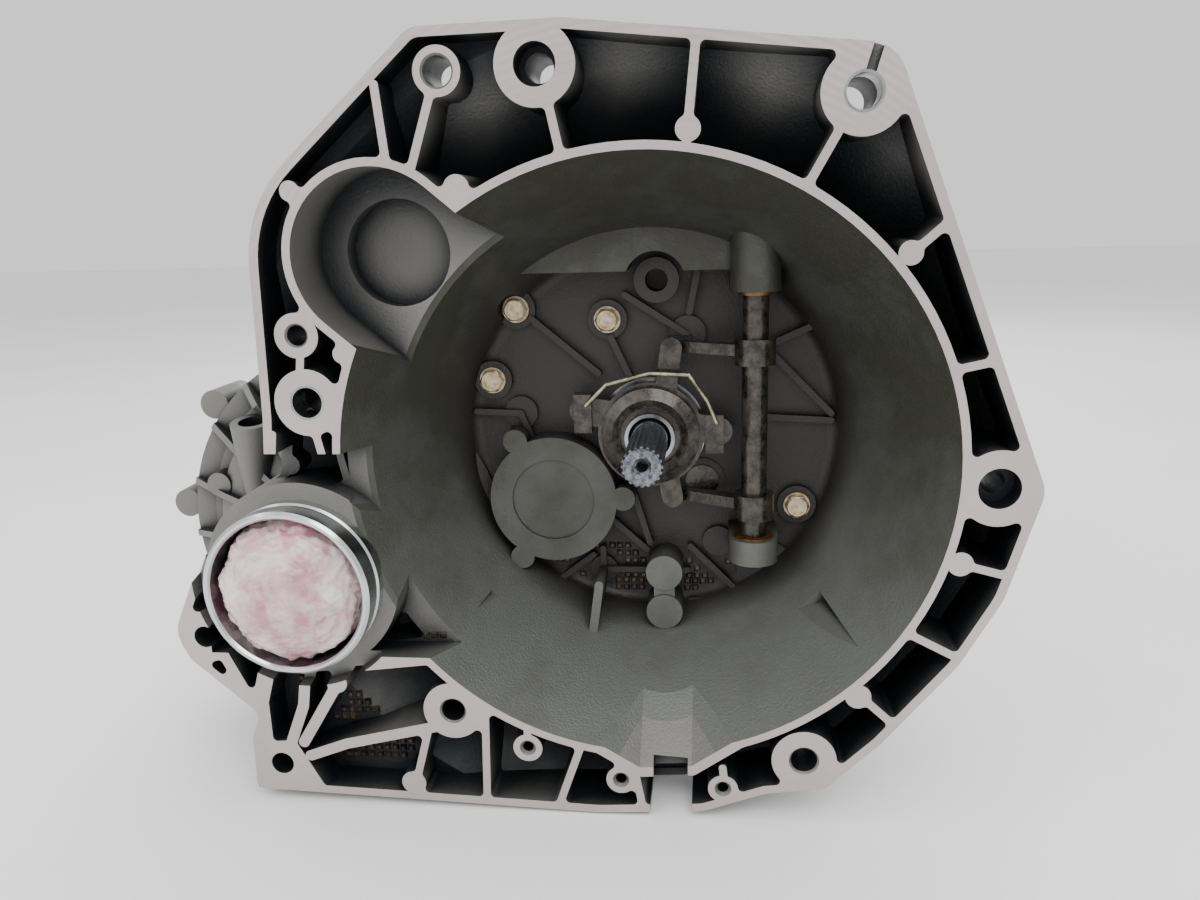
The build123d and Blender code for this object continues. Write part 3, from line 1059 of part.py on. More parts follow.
def shift_lever():
    """Lever clamped on the shift shaft, with ball studs for the two cables."""
    z = TOWER_TOP_Z + 36
    body = post(SHIFT_X, SHIFT_Y, 13, z - 13, z)
    arm = Pos(SHIFT_X, SHIFT_Y + 32, z - 3) * Box(16, 64, 6)
    body += arm + post(SHIFT_X, SHIFT_Y + 64, 9, z - 6, z)
    body += post(SHIFT_X, SHIFT_Y + 64, 3, z, z + 8) + Pos(SHIFT_X, SHIFT_Y + 64, z + 10) * Sphere(5.5)
    body += Pos(SHIFT_X - 26, SHIFT_Y, z - 3) * Box(52, 14, 6)
    body += Pos(SHIFT_X - 52, SHIFT_Y, z - 3) * Cylinder(12, 16)
    return body - post(SHIFT_X, SHIFT_Y, SHIFT_R + TOUCH_GAP, z - 14, z - 2)


# ---------------------------------------------------------------- clutch release mechanism
ARM_Z = [49.0, -37.0]
ARM_T = 6.0
ARM_TIP_X, ARM_TIP_R = 16.0, 3.0
CARRIER_Y = (83.0, 87.0)          # front and back of the carrier plate
GUIDE_R, GUIDE_BORE_R = 14.0, 12.0
GUIDE_FRONT_Y = 73.0
GUIDE_FLANGE_R, GUIDE_FLANGE_T = 31.0, 3.0
GUIDE_SCREW_PCR, GUIDE_SCREW_R = 25.0, 2.7
RACE_FRONT_Y = 75.0
RELEASE_RACE_R = 27.6
CARRIER_TUBE_R = 21.0
RELEASE_SHAFT_TOP = 178.0
CLIP_R = 1.2
EARS = [(-38.0, 14.0), (36.0, 2.0)]
EAR_FRONT_Y = 79.0


def release_shaft():
    """Upright shaft with two arms that push the bearing carrier towards the engine."""
    body = post(RELEASE_X, RELEASE_Y, RELEASE_R, RELEASE_FOOT_Z - 8, RELEASE_SHAFT_TOP)
    for z in ARM_Z:
        body += post(RELEASE_X, RELEASE_Y, RELEASE_R + 4, z - 7, z + 7)
        tip_y = CARRIER_Y[1] + PART_GAP + ARM_TIP_R
        back = (ARM_TIP_X, tip_y + 1.7, ARM_TIP_R - 0.4)
        face = hull([(RELEASE_X, RELEASE_Y + 4, 6.5), back]) + hull([(ARM_TIP_X, tip_y, ARM_TIP_R), back])
        body += Pos(0, 0, z - ARM_T / 2) * extrude(face, ARM_T)
    return body


def release_bushes():
    """Plain bushes of the release shaft: one in the upper boss, one in the lower."""
    foot = post(RELEASE_X, RELEASE_Y, RELEASE_R + 2 - TOUCH_GAP, RELEASE_FOOT_Z - 9.5, RELEASE_FOOT_Z + 1)
    head = post(RELEASE_X, RELEASE_Y, RELEASE_R + 2 - TOUCH_GAP, RELEASE_TOP_Z - 2, RELEASE_TOP_Z + 22)
    bore = post(RELEASE_X, RELEASE_Y, RELEASE_R + SHAFT_GAP, -200, 200)
    foot += post(RELEASE_X, RELEASE_Y, RELEASE_R + 4, RELEASE_FOOT_Z + TOUCH_GAP, RELEASE_FOOT_Z + 1)
    return group([foot - bore, head - bore])


def release_lever():
    """Outer lever on top of the release shaft, pulled by the clutch cable."""
    z = RELEASE_SHAFT_TOP
    body = post(RELEASE_X, RELEASE_Y, 13, z - 16, z)
    body += Pos(RELEASE_X + 6, RELEASE_Y + 40, z - 4) * Box(18, 80, 7)
    body += post(RELEASE_X + 6, RELEASE_Y + 82, 10, z - 7.5, z - 0.5)
    body -= post(RELEASE_X + 6, RELEASE_Y + 82, 4, z - 20, z + 5)
    return body - post(RELEASE_X, RELEASE_Y, RELEASE_R + TOUCH_GAP, z - 17, z + 1)


def guide_tube():
    """Tube around the input shaft on which the release bearing slides."""
    seat = FLOOR_Y - GUIDE_FLANGE_T
    body = tube(0, 0, GUIDE_R, GUIDE_BORE_R, GUIDE_FRONT_Y, seat)
    body += tube(0, 0, GUIDE_FLANGE_R, GUIDE_BORE_R, seat, FLOOR_Y)
    for x, z, _ in around(3, GUIDE_SCREW_PCR, 90):
        body -= rod(x, z, GUIDE_SCREW_R, seat - 1, FLOOR_Y + 1)
    return body


def guide_screws():
    shank = Pos(0, 0, -3.9) * Cylinder(GUIDE_SCREW_R - TOUCH_GAP, 7.8)
    screw = Rot(90, 0, 0) * (Pos(0, 0, 1.3) * Cylinder(4.6, 2.6) + shank)
    return group(Pos(x, FLOOR_Y - GUIDE_FLANGE_T, z) * screw for x, z, _ in around(3, GUIDE_SCREW_PCR, 90))


def release_carrier():
    """Sliding body of the release bearing with an ear on each side and a pad for each arm."""
    front, back = CARRIER_Y
    body = rod(0, 0, CARRIER_TUBE_R, RACE_FRONT_Y + 4, back + 2) + rod(0, 0, 30, front, back)
    body += slab(bar((-38, 14), (38, 2), 16), front, back)
    for x, z in EARS:
        body += block(x - 5, x + 5, EAR_FRONT_Y, back, z - 12, z + 10)
    for z in ARM_Z:
        body += slab(bar((ARM_TIP_X - 4, z), (8, z * 0.4), 12), front, back)
    return body - rod(0, 0, GUIDE_R + SHAFT_GAP, 60, 100)


def release_race():
    """Turning front race that the clutch fingers press on."""
    y = RACE_FRONT_Y
    inner = CARRIER_TUBE_R + PART_GAP
    back = CARRIER_Y[0] - PART_GAP
    profile = [(17, y + 1.6), (21.5, y), (RELEASE_RACE_R, y + 3), (RELEASE_RACE_R, back), (inner, back),
               (inner, y + 3.7), (17, y + 3.7)]
    return turned(0, 0, profile)


def release_clip():
    """Bent wire clip over the top of the bearing, held by the two ears."""
    y = EAR_FRONT_Y - CLIP_R - SHAFT_GAP
    points = [(-36, 18), (-24, 30), (0, 36), (22, 35), (32, 20), (37, 8)]
    body = Pos(points[0][0], y, points[0][1]) * Sphere(CLIP_R)
    for a, b in zip(points, points[1:]):
        length = math.hypot(b[0] - a[0], b[1] - a[1])
        line = Plane(origin=(a[0], y, a[1]), z_dir=(b[0] - a[0], 0, b[1] - a[1]))
        body += line * Pos(0, 0, length / 2) * Cylinder(CLIP_R, length)
        body += Pos(b[0], y, b[1]) * Sphere(CLIP_R)
    return body


# ---------------------------------------------------------------- small pieces
COLLAR_FRONT_Y, COLLAR_BACK_Y = -15.0, 40.0


def diff_collar():
    """Turned steel collar pressed into the hub of the casing."""
    r = COLLAR_R - TOUCH_GAP
    profile = [(COLLAR_BORE_R + 1, COLLAR_FRONT_Y), (r - 1.5, COLLAR_FRONT_Y), (r, COLLAR_FRONT_Y + 1.5),
               (r, -4), (r - 1, -3), (r - 1, 0), (r, 1), (r, COLLAR_BACK_Y), (COLLAR_BORE_R, COLLAR_BACK_Y),
               (COLLAR_BORE_R, COLLAR_FRONT_Y + 1)]
    return turned(DIFF_X, DIFF_Z, profile)


def transit_plug():
    """Crumpled film pushed into the collar, as a plain dome."""
    r = COLLAR_BORE_R - PART_GAP
    dome_face = make_face(Polyline((0, -12, 0), (r, -12, 0), (r, 30, 0), (0, 30, 0), close=True))
    body = Pos(DIFF_X, 0, DIFF_Z) * revolve(dome_face, Axis.Y)
    cap = scale(Sphere(r), (1, 0.5, 1))
    return body + Pos(DIFF_X, -12, DIFF_Z) * cap


def oil_plug():
    """Hexagon socket plug that points along +Z, with its washer face at z = 0."""
    body = Pos(0, 0, 2) * Cylinder(PLUG_R + 3, 4) + Pos(0, 0, -4) * Cylinder(PLUG_R - TOUCH_GAP, 8)
    return body - Pos(0, 0, -2) * extrude(RegularPolygon(6, 6), 7)


def oil_plugs():
    """Drain plug under the case and filler plug on its side."""
    drain = Pos(DRAIN_SPOT[0], DRAIN_SPOT[1], DRAIN_Z) * Rot(180, 0, 0) * oil_plug()
    filler = Pos(FILLER_X, FILLER_SPOT[0], FILLER_SPOT[1]) * Rot(0, 90, 0) * oil_plug()
    return group([drain, filler])


def reverse_switch():
    """Screwed-in reverse lamp switch with its connector shroud."""
    x, y = SWITCH_SPOT
    z = SWITCH_Z
    body = Pos(x, y, z) * extrude(RegularPolygon(SWITCH_R + 4, 6), 8)
    body += post(x, y, SWITCH_R - TOUCH_GAP, z - 7.5, z)
    body += post(x, y, SWITCH_R, z + 8, z + 24) - post(x, y, SWITCH_R - 2, z + 12, z + 25)
    body += Pos(x, y, z + 15) * Box(3, 1.5, 8)
    return body - post(x, y, PLUNGER_R + SHAFT_GAP, z - 9, z + 5)


def switch_plunger():
    x, y = SWITCH_SPOT
    return post(x, y, PLUNGER_R, SWITCH_Z - 12, SWITCH_Z) + Pos(x, y, SWITCH_Z - 12) * Sphere(PLUNGER_R)


def slotted_plug():
    """Round plug with a screwdriver slot in the bell floor."""
    x, z, r = SLOT_PLUG
    body = rod(x, z, r - TOUCH_GAP, SLOT_PLUG_Y, 104)
    return body - Pos(x, SLOT_PLUG_Y, z) * Rot(0, 15, 0) * Box(2.4, 4, 13)


def dowel_sleeves():
    """Hollow locating dowels in the mating face."""
    outer = DOWEL_R + DOWEL_WALL - TOUCH_GAP
    return group(tube(x, z, outer, DOWEL_R, 0, 15.5) for x, z in DOWEL_SPOTS)


def idler_shaft():
    y_end = REVERSE_Y + REVERSE_W + 3
    body = rod(IDLER_X, IDLER_Z, IDLER_SHAFT_R - TOUCH_GAP, WALL_Y + 3, y_end)
    body += rod(IDLER_X, IDLER_Z, IDLER_SHAFT_R + 4, y_end - 2.6, y_end)
    return body


def select_collar():
    """Grooved collar that lifts and lowers the shift shaft without turning with it."""
    z = TOWER_TOP_Z - 30
    body = post(SHIFT_X, SHIFT_Y, SHIFT_R + 4.4, z, z + 12)
    groove = post(SHIFT_X, SHIFT_Y, SHIFT_R + 6, z + 4, z + 8)
    groove -= post(SHIFT_X, SHIFT_Y, SHIFT_R + 2.5, z, z + 12)
    return body - groove - post(SHIFT_X, SHIFT_Y, SHIFT_R + SHAFT_GAP, z - 1, z + 13)


# ---------------------------------------------------------------- write every piece
def main():
    os.makedirs("parts", exist_ok=True)
    save("bell_housing", bell_housing())
    save("gear_case", gear_case())
    save("end_cover", end_cover())
    case_bolts = list(bolts_along_y(CASE_BOLTS, SPLIT_Y + FLANGE_T, 28).children)
    case_bolts += list(bolts_along_y(COVER_BOLTS, CASE_END_Y + FLANGE_T, 28).children)
    save("case_bolts", group(case_bolts))
    save("floor_bolts", bolts_along_y(FLOOR_BOLTS, FLOOR_BOLT_Y, 50, -1))
    save("dowel_sleeves", dowel_sleeves())
    save("guide_tube", guide_tube())
    save("guide_screws", guide_screws())
    save("oil_seals", oil_seals())
    save("diff_collar", diff_collar())
    save("transit_plug", transit_plug())
    save("oil_plugs", oil_plugs())
    save("reverse_switch", reverse_switch())
    save("switch_plunger", switch_plunger())
    save("shift_housing", shift_housing())
    save("housing_screws", housing_screws())
    save("slotted_plug", slotted_plug())
    every_bearing = INPUT_BEARINGS + OUTPUT_BEARINGS + DIFF_BEARINGS
    save("bearing_outer_races", group(race(bearing, True) for bearing in every_bearing))
    save("idler_shaft", idler_shaft())
    save("release_bushes", release_bushes())
    save("input_shaft", input_shaft())
    save("drive_gear_5", drive_gear_5())
    for name, bearings, count in (("input", INPUT_BEARINGS, 9), ("output", OUTPUT_BEARINGS, 9),
                                  ("diff", DIFF_BEARINGS, 11)):
        save(name + "_inner_races", group(race(bearing, False) for bearing in bearings))
        save(name + "_ball_sets", group(piece for bearing in bearings for piece in ball_set(bearing, count)))
    save("output_shaft", output_shaft())
    save("synchro_hubs", group(synchro_hub(i) for i in range(3)))
    save("synchro_rings", synchro_rings())
    for i in range(5):
        save(f"driven_gear_{i + 1}", driven_gear(i))
    save("reverse_gear", reverse_gear())
    save("reverse_idler", reverse_idler())
    for i, name in enumerate(("1_2", "3_4", "5_r")):
        save("sleeve_" + name, sleeve(i))
        save("shift_fork_" + name, shift_fork(i))
    save("ring_gear", ring_gear())
    save("ring_gear_bolts", ring_gear_bolts())
    save("diff_case", diff_case())
    save("cross_pin", cross_pin())
    save("side_gear_front", side_gear(-1))
    save("side_gear_rear", side_gear(1))
    save("planet_gear_right", planet_gear(1))
    save("planet_gear_left", planet_gear(-1))
    save("shift_shaft", shift_shaft())
    save("shift_lever", shift_lever())
    save("select_collar", select_collar())
    save("release_shaft", release_shaft())
    save("release_lever", release_lever())
    save("release_carrier", release_carrier())
    save("release_race", release_race())
    save("release_clip", release_clip())


main()
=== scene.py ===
import json
import math

import bmesh
import bpy
from mathutils import Matrix, Vector, noise


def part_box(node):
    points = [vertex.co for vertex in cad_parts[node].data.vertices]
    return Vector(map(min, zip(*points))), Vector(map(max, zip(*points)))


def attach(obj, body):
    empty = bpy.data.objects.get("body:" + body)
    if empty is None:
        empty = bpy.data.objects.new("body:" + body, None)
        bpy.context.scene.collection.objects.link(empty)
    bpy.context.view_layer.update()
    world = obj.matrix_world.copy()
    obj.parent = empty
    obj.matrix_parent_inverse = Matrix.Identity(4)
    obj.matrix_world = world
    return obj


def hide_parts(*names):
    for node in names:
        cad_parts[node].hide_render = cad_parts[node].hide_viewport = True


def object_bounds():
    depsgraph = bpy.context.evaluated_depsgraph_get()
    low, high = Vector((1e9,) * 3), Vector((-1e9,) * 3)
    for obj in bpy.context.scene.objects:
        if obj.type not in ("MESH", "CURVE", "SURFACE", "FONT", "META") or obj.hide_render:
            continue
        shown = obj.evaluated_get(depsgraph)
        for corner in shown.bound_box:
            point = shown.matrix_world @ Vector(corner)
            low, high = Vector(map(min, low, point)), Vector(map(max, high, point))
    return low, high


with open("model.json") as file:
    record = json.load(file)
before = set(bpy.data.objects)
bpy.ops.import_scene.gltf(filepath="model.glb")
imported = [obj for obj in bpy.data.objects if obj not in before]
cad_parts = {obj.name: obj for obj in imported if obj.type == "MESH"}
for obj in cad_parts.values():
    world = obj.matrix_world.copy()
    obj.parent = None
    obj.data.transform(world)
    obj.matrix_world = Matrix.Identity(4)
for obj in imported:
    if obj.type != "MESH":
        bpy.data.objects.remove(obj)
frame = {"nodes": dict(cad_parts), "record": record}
cad_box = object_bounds()
NODES = frame["nodes"]
MM = 0.001


# ---------------------------------------------------------------- helpers
def colour(code):
    """Linear colour of an sRGB hex value such as "8d9091"."""
    parts = [int(code[i:i + 2], 16) / 255 for i in (0, 2, 4)]
    return [p / 12.92 if p <= 0.04045 else ((p + 0.055) / 1.055) ** 2.4 for p in parts] + [1.0]


def add(tree, kind, inputs=None, **settings):
    """Adds one node with its settings, and links or sets its inputs."""
    made = tree.nodes.new(kind)
    for name, value in settings.items():
        setattr(made, name, value)
    for name, value in (inputs or {}).items():
        socket = made.inputs[name]
        if isinstance(value, bpy.types.NodeSocket):
            tree.links.new(value, socket)
        else:
            socket.default_value = value
    return made


def new_material(name):
    """Empty node material with its shader and its coordinates: (material, tree, shader, coordinates)."""
    material = bpy.data.materials.new(name)
    material.use_nodes = True
    tree = material.node_tree
    tree.nodes.clear()
    shader = add(tree, "ShaderNodeBsdfPrincipled")
    add(tree, "ShaderNodeOutputMaterial", {"Surface": shader.outputs["BSDF"]})
    place = add(tree, "ShaderNodeTexCoord")
    return material, tree, shader, place.outputs["Object"]


def set_shader(tree, shader, values):
    """Sets or links several inputs of the shader."""
    for name, value in values.items():
        if isinstance(value, bpy.types.NodeSocket):
            tree.links.new(value, shader.inputs[name])
        else:
            shader.inputs[name].default_value = value


def per_metre(size_mm):
    """Noise scale for features of this size."""
    return 1000 / size_mm


def cloud(tree, place, size_mm, **inputs):
    """Soft noise with features of this size."""
    values = {name.capitalize(): value for name, value in inputs.items()}
    made = add(tree, "ShaderNodeTexNoise", {"Vector": place, "Scale": per_metre(size_mm), **values})
    return made.outputs["Fac"]


def span(tree, value, low, high, to_low=0.0, to_high=1.0):
    """Stretches a value from one range to another, held at both ends."""
    made = add(tree, "ShaderNodeMapRange", {"Value": value, "From Min": low, "From Max": high,
                                            "To Min": to_low, "To Max": to_high})
    return made.outputs["Result"]


def blend(tree, factor, low, high):
    """Colour that goes from low to high; each is a hex code or a socket."""
    low, high = (colour(c) if isinstance(c, str) else c for c in (low, high))
    made = add(tree, "ShaderNodeMix", {"Factor": factor, "A": low, "B": high}, data_type="RGBA")
    return made.outputs["Result"]


def between(tree, factor, low, high):
    """Number that goes from low to high."""
    return add(tree, "ShaderNodeMix", {"Factor": factor, "A": low, "B": high}).outputs["Result"]


def reckon(tree, operation, *terms, **settings):
    """One step of arithmetic on numbers or sockets."""
    made = add(tree, "ShaderNodeMath", dict(enumerate(terms)), operation=operation, **settings)
    return made.outputs["Value"]


def relief(tree, height, depth_mm, strength):
    """Fine unevenness of the surface."""
    made = add(tree, "ShaderNodeBump", {"Height": height, "Distance": depth_mm * MM, "Strength": strength})
    return made.outputs["Normal"]


def mottled(name, light, dark, spot_mm, grain_mm, grain_depth_mm, metallic, rough):
    """Surface with two tones in soft spots, and a fine grain in its relief; rough is (least, most)."""
    material, tree, shader, place = new_material(name)
    spots = cloud(tree, place, spot_mm, detail=6.0, roughness=0.65)
    grain = cloud(tree, place, grain_mm, detail=3.0)
    set_shader(tree, shader, {"Base Color": blend(tree, span(tree, spots, 0.36, 0.64), dark, light),
                              "Roughness": span(tree, spots, 0.3, 0.7, *rough), "Metallic": metallic,
                              "Normal": relief(tree, grain, grain_depth_mm, 0.6)})
    return material


# ---------------------------------------------------------------- materials
def die_cast_aluminium():
    """Die-cast aluminium, pressed into a steel mould: dull grey with soft cloudy tones and a fine skin."""
    return mottled("die_cast_aluminium", "949390", "706f6c", 26, 0.9, 0.12, 0.7, (0.42, 0.62))


def turned_steel():
    """Steel turned on a lathe and ground: clean mid grey with a fine grain."""
    return mottled("turned_steel", "a9aaab", "858789", 9, 0.5, 0.03, 1.0, (0.22, 0.38))


def worn_spline_steel():
    """Hardened spline steel, dusty and specked with rust and old grease."""
    return mottled("worn_spline_steel", "8b9096", "3b3d40", 2.2, 0.5, 0.06, 0.9, (0.3, 0.55))


def polished_ring_steel():
    """Turned and polished steel ring: bright silver, with fine tool lines along its length."""
    material, tree, shader, place = new_material("polished_ring_steel")
    low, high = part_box("diff_collar")
    shift = [-(low[0] + high[0]) / 2, 0, -(low[2] + high[2]) / 2]
    centred = add(tree, "ShaderNodeMapping", {"Vector": place, "Location": shift}).outputs["Vector"]
    along = add(tree, "ShaderNodeSeparateXYZ", {"Vector": centred}).outputs["Y"]
    lines = add(tree, "ShaderNodeTexNoise", {"W": along, "Scale": per_metre(0.7), "Detail": 2.0},
                noise_dimensions="1D").outputs["Fac"]
    set_shader(tree, shader, {"Base Color": colour("c3c6c8"), "Metallic": 1.0,
                              "Normal": relief(tree, lines, 0.04, 0.5),
                              "Roughness": span(tree, cloud(tree, centred, 14), 0.3, 0.7, 0.14, 0.3)})
    return material


def oiled_steel():
    """Forged steel under old oil and clutch dust: black-brown and wet in patches, with bright specks."""
    material, tree, shader, place = new_material("oiled_steel")
    film = cloud(tree, place, 7, detail=7.0, roughness=0.7)
    lumps = cloud(tree, place, 1.8, detail=5.0)
    set_shader(tree, shader, {"Base Color": blend(tree, span(tree, film, 0.4, 0.62), "1b1713", "4a443d"),
                              "Roughness": span(tree, film, 0.35, 0.65, 0.16, 0.5), "Metallic": 0.75,
                              "Normal": relief(tree, lumps, 0.5, 0.8),
                              "Coat Weight": 0.5, "Coat Roughness": 0.15})
    return material


def zinc_plate():
    """Yellow-passivated zinc plate on steel: warm tan with a dull sheen and small dark stains."""
    return mottled("zinc_plate", "c8bba0", "8f8064", 4, 0.8, 0.05, 0.85, (0.3, 0.5))


def ground_bearing_steel():
    """Ground and superfinished bearing steel: bright, almost a mirror."""
    return mottled("ground_bearing_steel", "d3d5d8", "b8babd", 12, 0.6, 0.01, 1.0, (0.1, 0.2))


def machined_brass():
    """Turned brass: warm yellow with a soft gloss."""
    return mottled("machined_brass", "c9a55c", "a98543", 6, 0.6, 0.03, 1.0, (0.25, 0.4))


def sintered_bronze():
    """Sintered bronze bush: brown, open-grained and oily."""
    return mottled("sintered_bronze", "8c6a43", "5c4229", 3, 0.5, 0.08, 0.9, (0.35, 0.55))


def grey_cast_iron():
    """Sand-cast iron: dark grey and coarse."""
    return mottled("grey_cast_iron", "5b5c5e", "3d3e40", 8, 1.0, 0.2, 0.8, (0.5, 0.7))


def drawn_spring_wire():
    """Drawn spring wire: olive grey with a satin skin."""
    return mottled("drawn_spring_wire", "b3b298", "77765f", 5, 0.5, 0.02, 0.9, (0.28, 0.42))


def moulded_nitrile():
    """Moulded nitrile rubber: black, matt and slightly dusty."""
    return mottled("moulded_nitrile", "232323", "121212", 5, 0.7, 0.04, 0.0, (0.55, 0.75))


def moulded_nylon():
    """Glass-filled nylon: near black with a fine spark-eroded texture."""
    return mottled("moulded_nylon", "2b2b2d", "1a1a1c", 5, 0.6, 0.05, 0.0, (0.4, 0.55))


def crumpled_film():
    """Polyethylene wrapping film pushed into a ball: pale pink and white layers, glossy on every crease."""
    material, tree, shader, place = new_material("crumpled_film")
    layers = cloud(tree, place, 26, detail=5.0, roughness=0.6, distortion=0.8)
    streaks = add(tree, "ShaderNodeMapping", {"Vector": place, "Rotation": [0, math.radians(28), 0],
                                              "Scale": [0.28, 1, 1]}).outputs["Vector"]
    folds = cloud(tree, streaks, 3.2, detail=6.0, roughness=0.7, distortion=1.5)
    creases = add(tree, "ShaderNodeTexVoronoi", {"Vector": streaks, "Scale": per_metre(5)},
                  feature="DISTANCE_TO_EDGE").outputs["Distance"]
    set_shader(tree, shader, {"Base Color": blend(tree, span(tree, layers, 0.36, 0.6), "b8808f", "e3d3d2"),
                              "Roughness": span(tree, folds, 0.35, 0.65, 0.12, 0.45),
                              "Normal": relief(tree, reckon(tree, "ADD", folds, creases), 1.1, 0.75),
                              "IOR": 1.51, "Coat Weight": 0.6, "Coat Roughness": 0.1,
                              "Subsurface Weight": 0.12, "Subsurface Radius": [0.004, 0.003, 0.003]})
    return material


# Bell housing: where its machined, darker and oily areas lie, and how far its painted shade reaches, in
# metres
MOUTH_R = 0.1535          # middle of the bell wall at the mating face
WALL_SLOPE = -0.474       # change of that radius with depth
FACE_Y = 0.0006           # everything in front of this is milled
RIB_TOP_Y = 0.0022
FLOOR_START_Y = 0.073
FLOOR_BLEND = 0.02        # depth over which the dusty wall turns into the oily floor
LINING_DARKENING_Z = (-0.13, 0.06)    # height over which the bell wall darkens
PAINTED_SHADE_REACH = 0.034      # how far off a wall the painted shade of the cavities reaches
FACING_ENGINE = -0.9      # Y of a normal that points at the engine


def milled_and_rib_tops(tree, axes):
    """Masks of the milled faces, and of the rib tops just behind them."""
    geometry = add(tree, "ShaderNodeNewGeometry").outputs["True Normal"]
    normal = add(tree, "ShaderNodeSeparateXYZ", {"Vector": geometry}).outputs["Y"]
    front = reckon(tree, "LESS_THAN", normal, FACING_ENGINE)
    return [reckon(tree, "MULTIPLY", front, reckon(tree, "LESS_THAN", axes["Y"], depth))
            for depth in (FACE_Y, RIB_TOP_Y)]


def inside_bell(tree, axes):
    """Mask of what lies nearer the input axis than the middle of the wall at its depth."""
    flat = add(tree, "ShaderNodeCombineXYZ", {"X": axes["X"], "Z": axes["Z"]}).outputs["Vector"]
    radius = add(tree, "ShaderNodeVectorMath", {0: flat}, operation="LENGTH").outputs["Value"]
    return reckon(tree, "LESS_THAN", radius, reckon(tree, "MULTIPLY_ADD", axes["Y"], WALL_SLOPE, MOUTH_R))


def bell_lining(tree, axes, clouds, painted_shade_ao):
    """Inside of the bell: dark olive-grey above, paler grey below, oily black-brown floor, and painted
    shade going near-black where the walls close in.
    """
    rise = add(tree, "ShaderNodeMapRange", {"Value": axes["Z"], "From Min": LINING_DARKENING_Z[0],
                                            "From Max": LINING_DARKENING_Z[1]}, interpolation_type="SMOOTHSTEP")
    smear = span(tree, clouds, 0.35, 0.65, -0.3, 0.3)
    level = reckon(tree, "ADD", rise.outputs["Result"], smear, use_clamp=True)
    depth = span(tree, axes["Y"], FLOOR_START_Y, FLOOR_START_Y + FLOOR_BLEND)
    lining = blend(tree, depth, blend(tree, level, "62645f", "3a3a34"),
                   blend(tree, clouds, "1f1e1c", "3c3a36"))
    # painted shade: the lining goes near-black where ambient occlusion is low
    return blend(tree, span(tree, painted_shade_ao, 0.75, 0.3, 0.0, 0.85), lining, "1c1b1a")


def bell_casting():
    """Die-cast casing: milled faces bright, pockets black with painted shade, bell lining paler towards the
    bottom, floor oily.
    """
    material, tree, shader, place = new_material("bell_die_casting")
    axes = add(tree, "ShaderNodeSeparateXYZ", {"Vector": place}).outputs
    milled, rib_top = milled_and_rib_tops(tree, axes)
    clouds = cloud(tree, place, 45, detail=6.0, roughness=0.62)
    fine = cloud(tree, place, 2.4, detail=4.0)
    # ambient occlusion, used to paint shade into the pockets and cavities
    painted_shade_ao = add(tree, "ShaderNodeAmbientOcclusion", {"Distance": PAINTED_SHADE_REACH}, samples=6,
                  only_local=True).outputs["AO"]

    # outside: cloudy skin, with painted shade darkening every cavity
    skin = blend(tree, clouds, "605f5c", "807f7c")
    skin_with_painted_shade = blend(tree, span(tree, painted_shade_ao, 0.9, 0.5), skin, "14171b")
    cast = blend(tree, inside_bell(tree, axes), skin_with_painted_shade, bell_lining(tree, axes, clouds, painted_shade_ao))

    # rib tops are as cast, with bright scuffed specks; milled faces are clean
    scuffed = blend(tree, span(tree, fine, 0.44, 0.64), "5f6162", "9ea0a0")
    cast = blend(tree, rib_top, cast, scuffed)
    tint = blend(tree, milled, cast, blend(tree, clouds, "a39c9a", "c0bbb9"))

    # relief: coarse skin on the casting, shallow arcs of the milling cutter on the faces
    rough_skin = cloud(tree, place, 1.3, detail=5.0)
    arcs = add(tree, "ShaderNodeTexWave", {"Vector": place, "Scale": per_metre(12), "Distortion": 1.5,
                                           "Detail": 2.0}, wave_type="RINGS", rings_direction="Y")
    shape = between(tree, milled, rough_skin, arcs.outputs["Fac"])
    gloss = between(tree, milled, span(tree, clouds, 0.3, 0.7, 0.38, 0.62), 0.42)
    set_shader(tree, shader, {"Base Color": tint, "Metallic": between(tree, milled, 0.45, 0.9),
                              "Roughness": gloss,
                              "Normal": relief(tree, shape, 1, between(tree, milled, 0.35, 0.06))})
    return material


def floor_waffle_skin():
    """Waffle pattern cast into the floor: black-brown with oil between the studs."""
    return mottled("oily_die_casting", "50483f", "211c1b", 9, 1.0, 0.15, 0.5, (0.25, 0.5))


def pale_floor():
    """Matt painted studio floor, almost white."""
    return mottled("matt_studio_paint", "f4f4f4", "f0f0f0", 300, 4, 0.02, 0.0, (0.7, 0.8))


# Which finish each material slot of the record gets
FINISHES = {
    "cast_aluminium": die_cast_aluminium(), "machined_steel": turned_steel(),
    "polished_steel": polished_ring_steel(), "oiled_steel": oiled_steel(), "plated_steel": zinc_plate(),
    "bearing_steel": ground_bearing_steel(), "brass": machined_brass(), "bronze": sintered_bronze(),
    "cast_iron": grey_cast_iron(), "spring_wire": drawn_spring_wire(), "seal_rubber": moulded_nitrile(),
    "moulded_nylon": moulded_nylon(), "wrap_film": crumpled_film(),
}


def dress(piece, material):
    piece.data.materials.clear()
    piece.data.materials.append(material)


def dress_cad_nodes():
    for part in frame["record"]["subparts"]:
        dress(NODES[part["node"]], FINISHES[part["material_slot"]])
    dress(NODES["bell_housing"], bell_casting())
    dress(NODES["input_shaft"], worn_spline_steel())


# ---------------------------------------------------------------- new pieces
def as_object(name, mesh_edit, body, material):
    """Object from a finished bmesh, riding on a body."""
    mesh = bpy.data.meshes.new(name)
    mesh_edit.to_mesh(mesh)
    mesh_edit.free()
    piece = bpy.data.objects.new(name, mesh)
    bpy.context.scene.collection.objects.link(piece)
    dress(piece, material)
    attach(piece, body)
    return piece


CORNERS = ((-1, -1), (1, -1), (1, 1), (-1, 1))
STUD_PITCH = 4.6 * MM
STUD_HEIGHT = 1.3 * MM
STUD_FLATNESS = 3 * MM    # a stud's ground may rise and fall by this much
